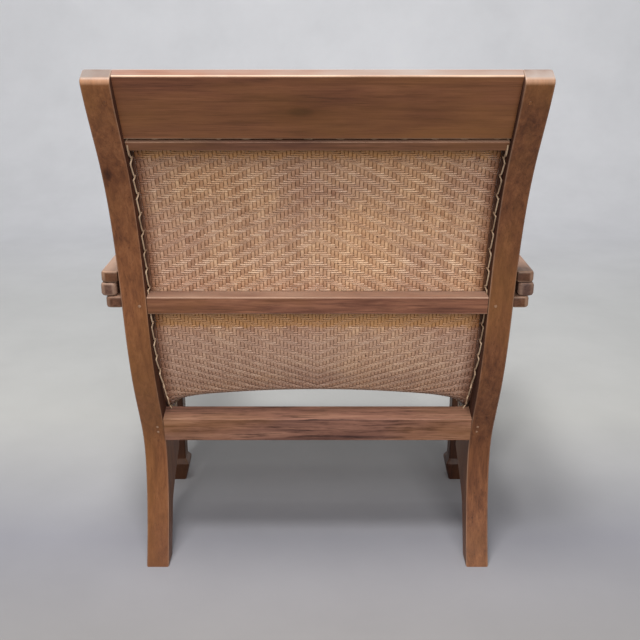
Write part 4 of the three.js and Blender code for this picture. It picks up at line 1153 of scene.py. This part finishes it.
def cord_along(points, name, radius, material):
    """A round cord through these points, as a mesh."""
    bpy.ops.object.select_all(action="DESELECT")
    curve = bpy.data.curves.new(name, "CURVE")
    curve.dimensions = "3D"
    curve.bevel_depth = radius
    curve.bevel_resolution = ROUND_STEPS
    curve.use_fill_caps = True
    curve.resolution_u = POINT_STEPS
    spline = curve.splines.new("NURBS")
    spline.points.add(len(points) - 1)
    for knot, place in zip(spline.points, points):
        knot.co = (*place, 1.0)
    spline.use_endpoint_u = True
    spline.order_u = NURBS_ORDER
    cord = bpy.data.objects.new(name, curve)
    bpy.context.scene.collection.objects.link(cord)
    pick(cord)
    bpy.ops.object.convert(target="MESH")
    bpy.ops.object.shade_smooth()
    cord = bpy.context.object
    cord.data.materials.append(material)
    print(cord.name, "faces:", len(cord.data.polygons))
    return cord


# %% Cotton
FUZZ_SCALE = 900.0
GRUBBY_SCALE = 30.0
GRUBBY = linear(164, 134, 106)
CREAM = linear(220, 190, 158)


def cotton_finish():
    """Cream cotton with fine fuzz, gone tan in places."""
    material, tree, shader = new_material("lacing_cotton")
    place = coordinates(tree, "Object")
    fuzz = add_noise(tree, place, FUZZ_SCALE, 2.0)
    shade = add_ramp(tree, add_noise(tree, place, GRUBBY_SCALE, 4.0), [(0.35, GRUBBY), (0.6, CREAM)])
    colour = add_blend(tree, "MULTIPLY", 1.0, shade, spread_noise(tree, fuzz, 0.8, 1.1))
    feed(tree, shader, Base_Color=colour, Roughness=0.85, Normal=add_bump(tree, fuzz, 0.6, 0.0003))
    return material


# %% Lace the sling
cotton = cotton_finish()
for side in SIDES:
    cord = cord_along(lacing_route(side), "lacing_" + side, CORD_RADIUS, cotton)
    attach(cord, "frame")
    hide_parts("edge_lace_" + side)
gap_cord = cord_along(gap_route(), "lacing_top", GAP_CORD_RADIUS, cotton)
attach(gap_cord, "frame")

# %% [markdown]
# ## Pegs and pivot bolts
# The pegs that lock the joints show their end grain as small round ends, a little proud. Those of the middle
# and the rear rail are pale as a painted highlight, where their ends catch the light, and the others are as
# dark as the wood around them. The leg rests turn on brass bolts that have gone dull.

# %% Pegs
# Pale tones that paint a highlight on the pegs' ends
glint_tones = (linear(104, 70, 50), linear(168, 132, 106), linear(214, 184, 160))
glinting_peg = wood_finish("glinting_peg", "Z", glint_tones, gloss=0.34, figure_size=300, seed=21.0, wear_and_highlight=0.0)
dark_peg = wood_finish("dark_peg", "Z", left_post_tones, gloss=0.34, figure_size=300, seed=23.0, wear_and_highlight=0.0)
peg_woods = {
    "crest_peg_": dark_peg,
    "mid_rail_peg_": glinting_peg,
    "rear_rail_peg_lower_": glinting_peg,
    "rear_rail_peg_upper_": glinting_peg,
    "shoulder_peg_": dark_peg,
    "leg_peg_lower_": dark_peg,
    "leg_peg_upper_": dark_peg,
}
for side in SIDES:
    for node, peg_wood in peg_woods.items():
        eased_copy(node + side, peg_wood, ease=0.0003)

# %% Brass
PATINA_SCALE = 160.0
BROWN_BRASS = linear(112, 82, 42)
BRIGHT_BRASS = linear(188, 152, 88)


def brass_finish():
    """Old brass: brown in the hollows, brighter where it is rubbed."""
    material, tree, shader = new_material("old_brass")
    patina = add_noise(tree, coordinates(tree, "Object"), PATINA_SCALE, 5.0, Roughness=0.65)
    colour = add_ramp(tree, patina, [(0.35, BROWN_BRASS), (0.65, BRIGHT_BRASS)])
    feed(tree, shader, Base_Color=colour, Metallic=1.0, Roughness=spread_noise(tree, patina, 0.55, 0.28),
         Normal=add_bump(tree, patina, 0.25, 0.0003))
    return material


brass = brass_finish()
for side in SIDES:
    for node in ("pivot_bolt_", "pivot_washer_", "pivot_nut_"):
        eased_copy(node + side, brass, ease=0.0004)
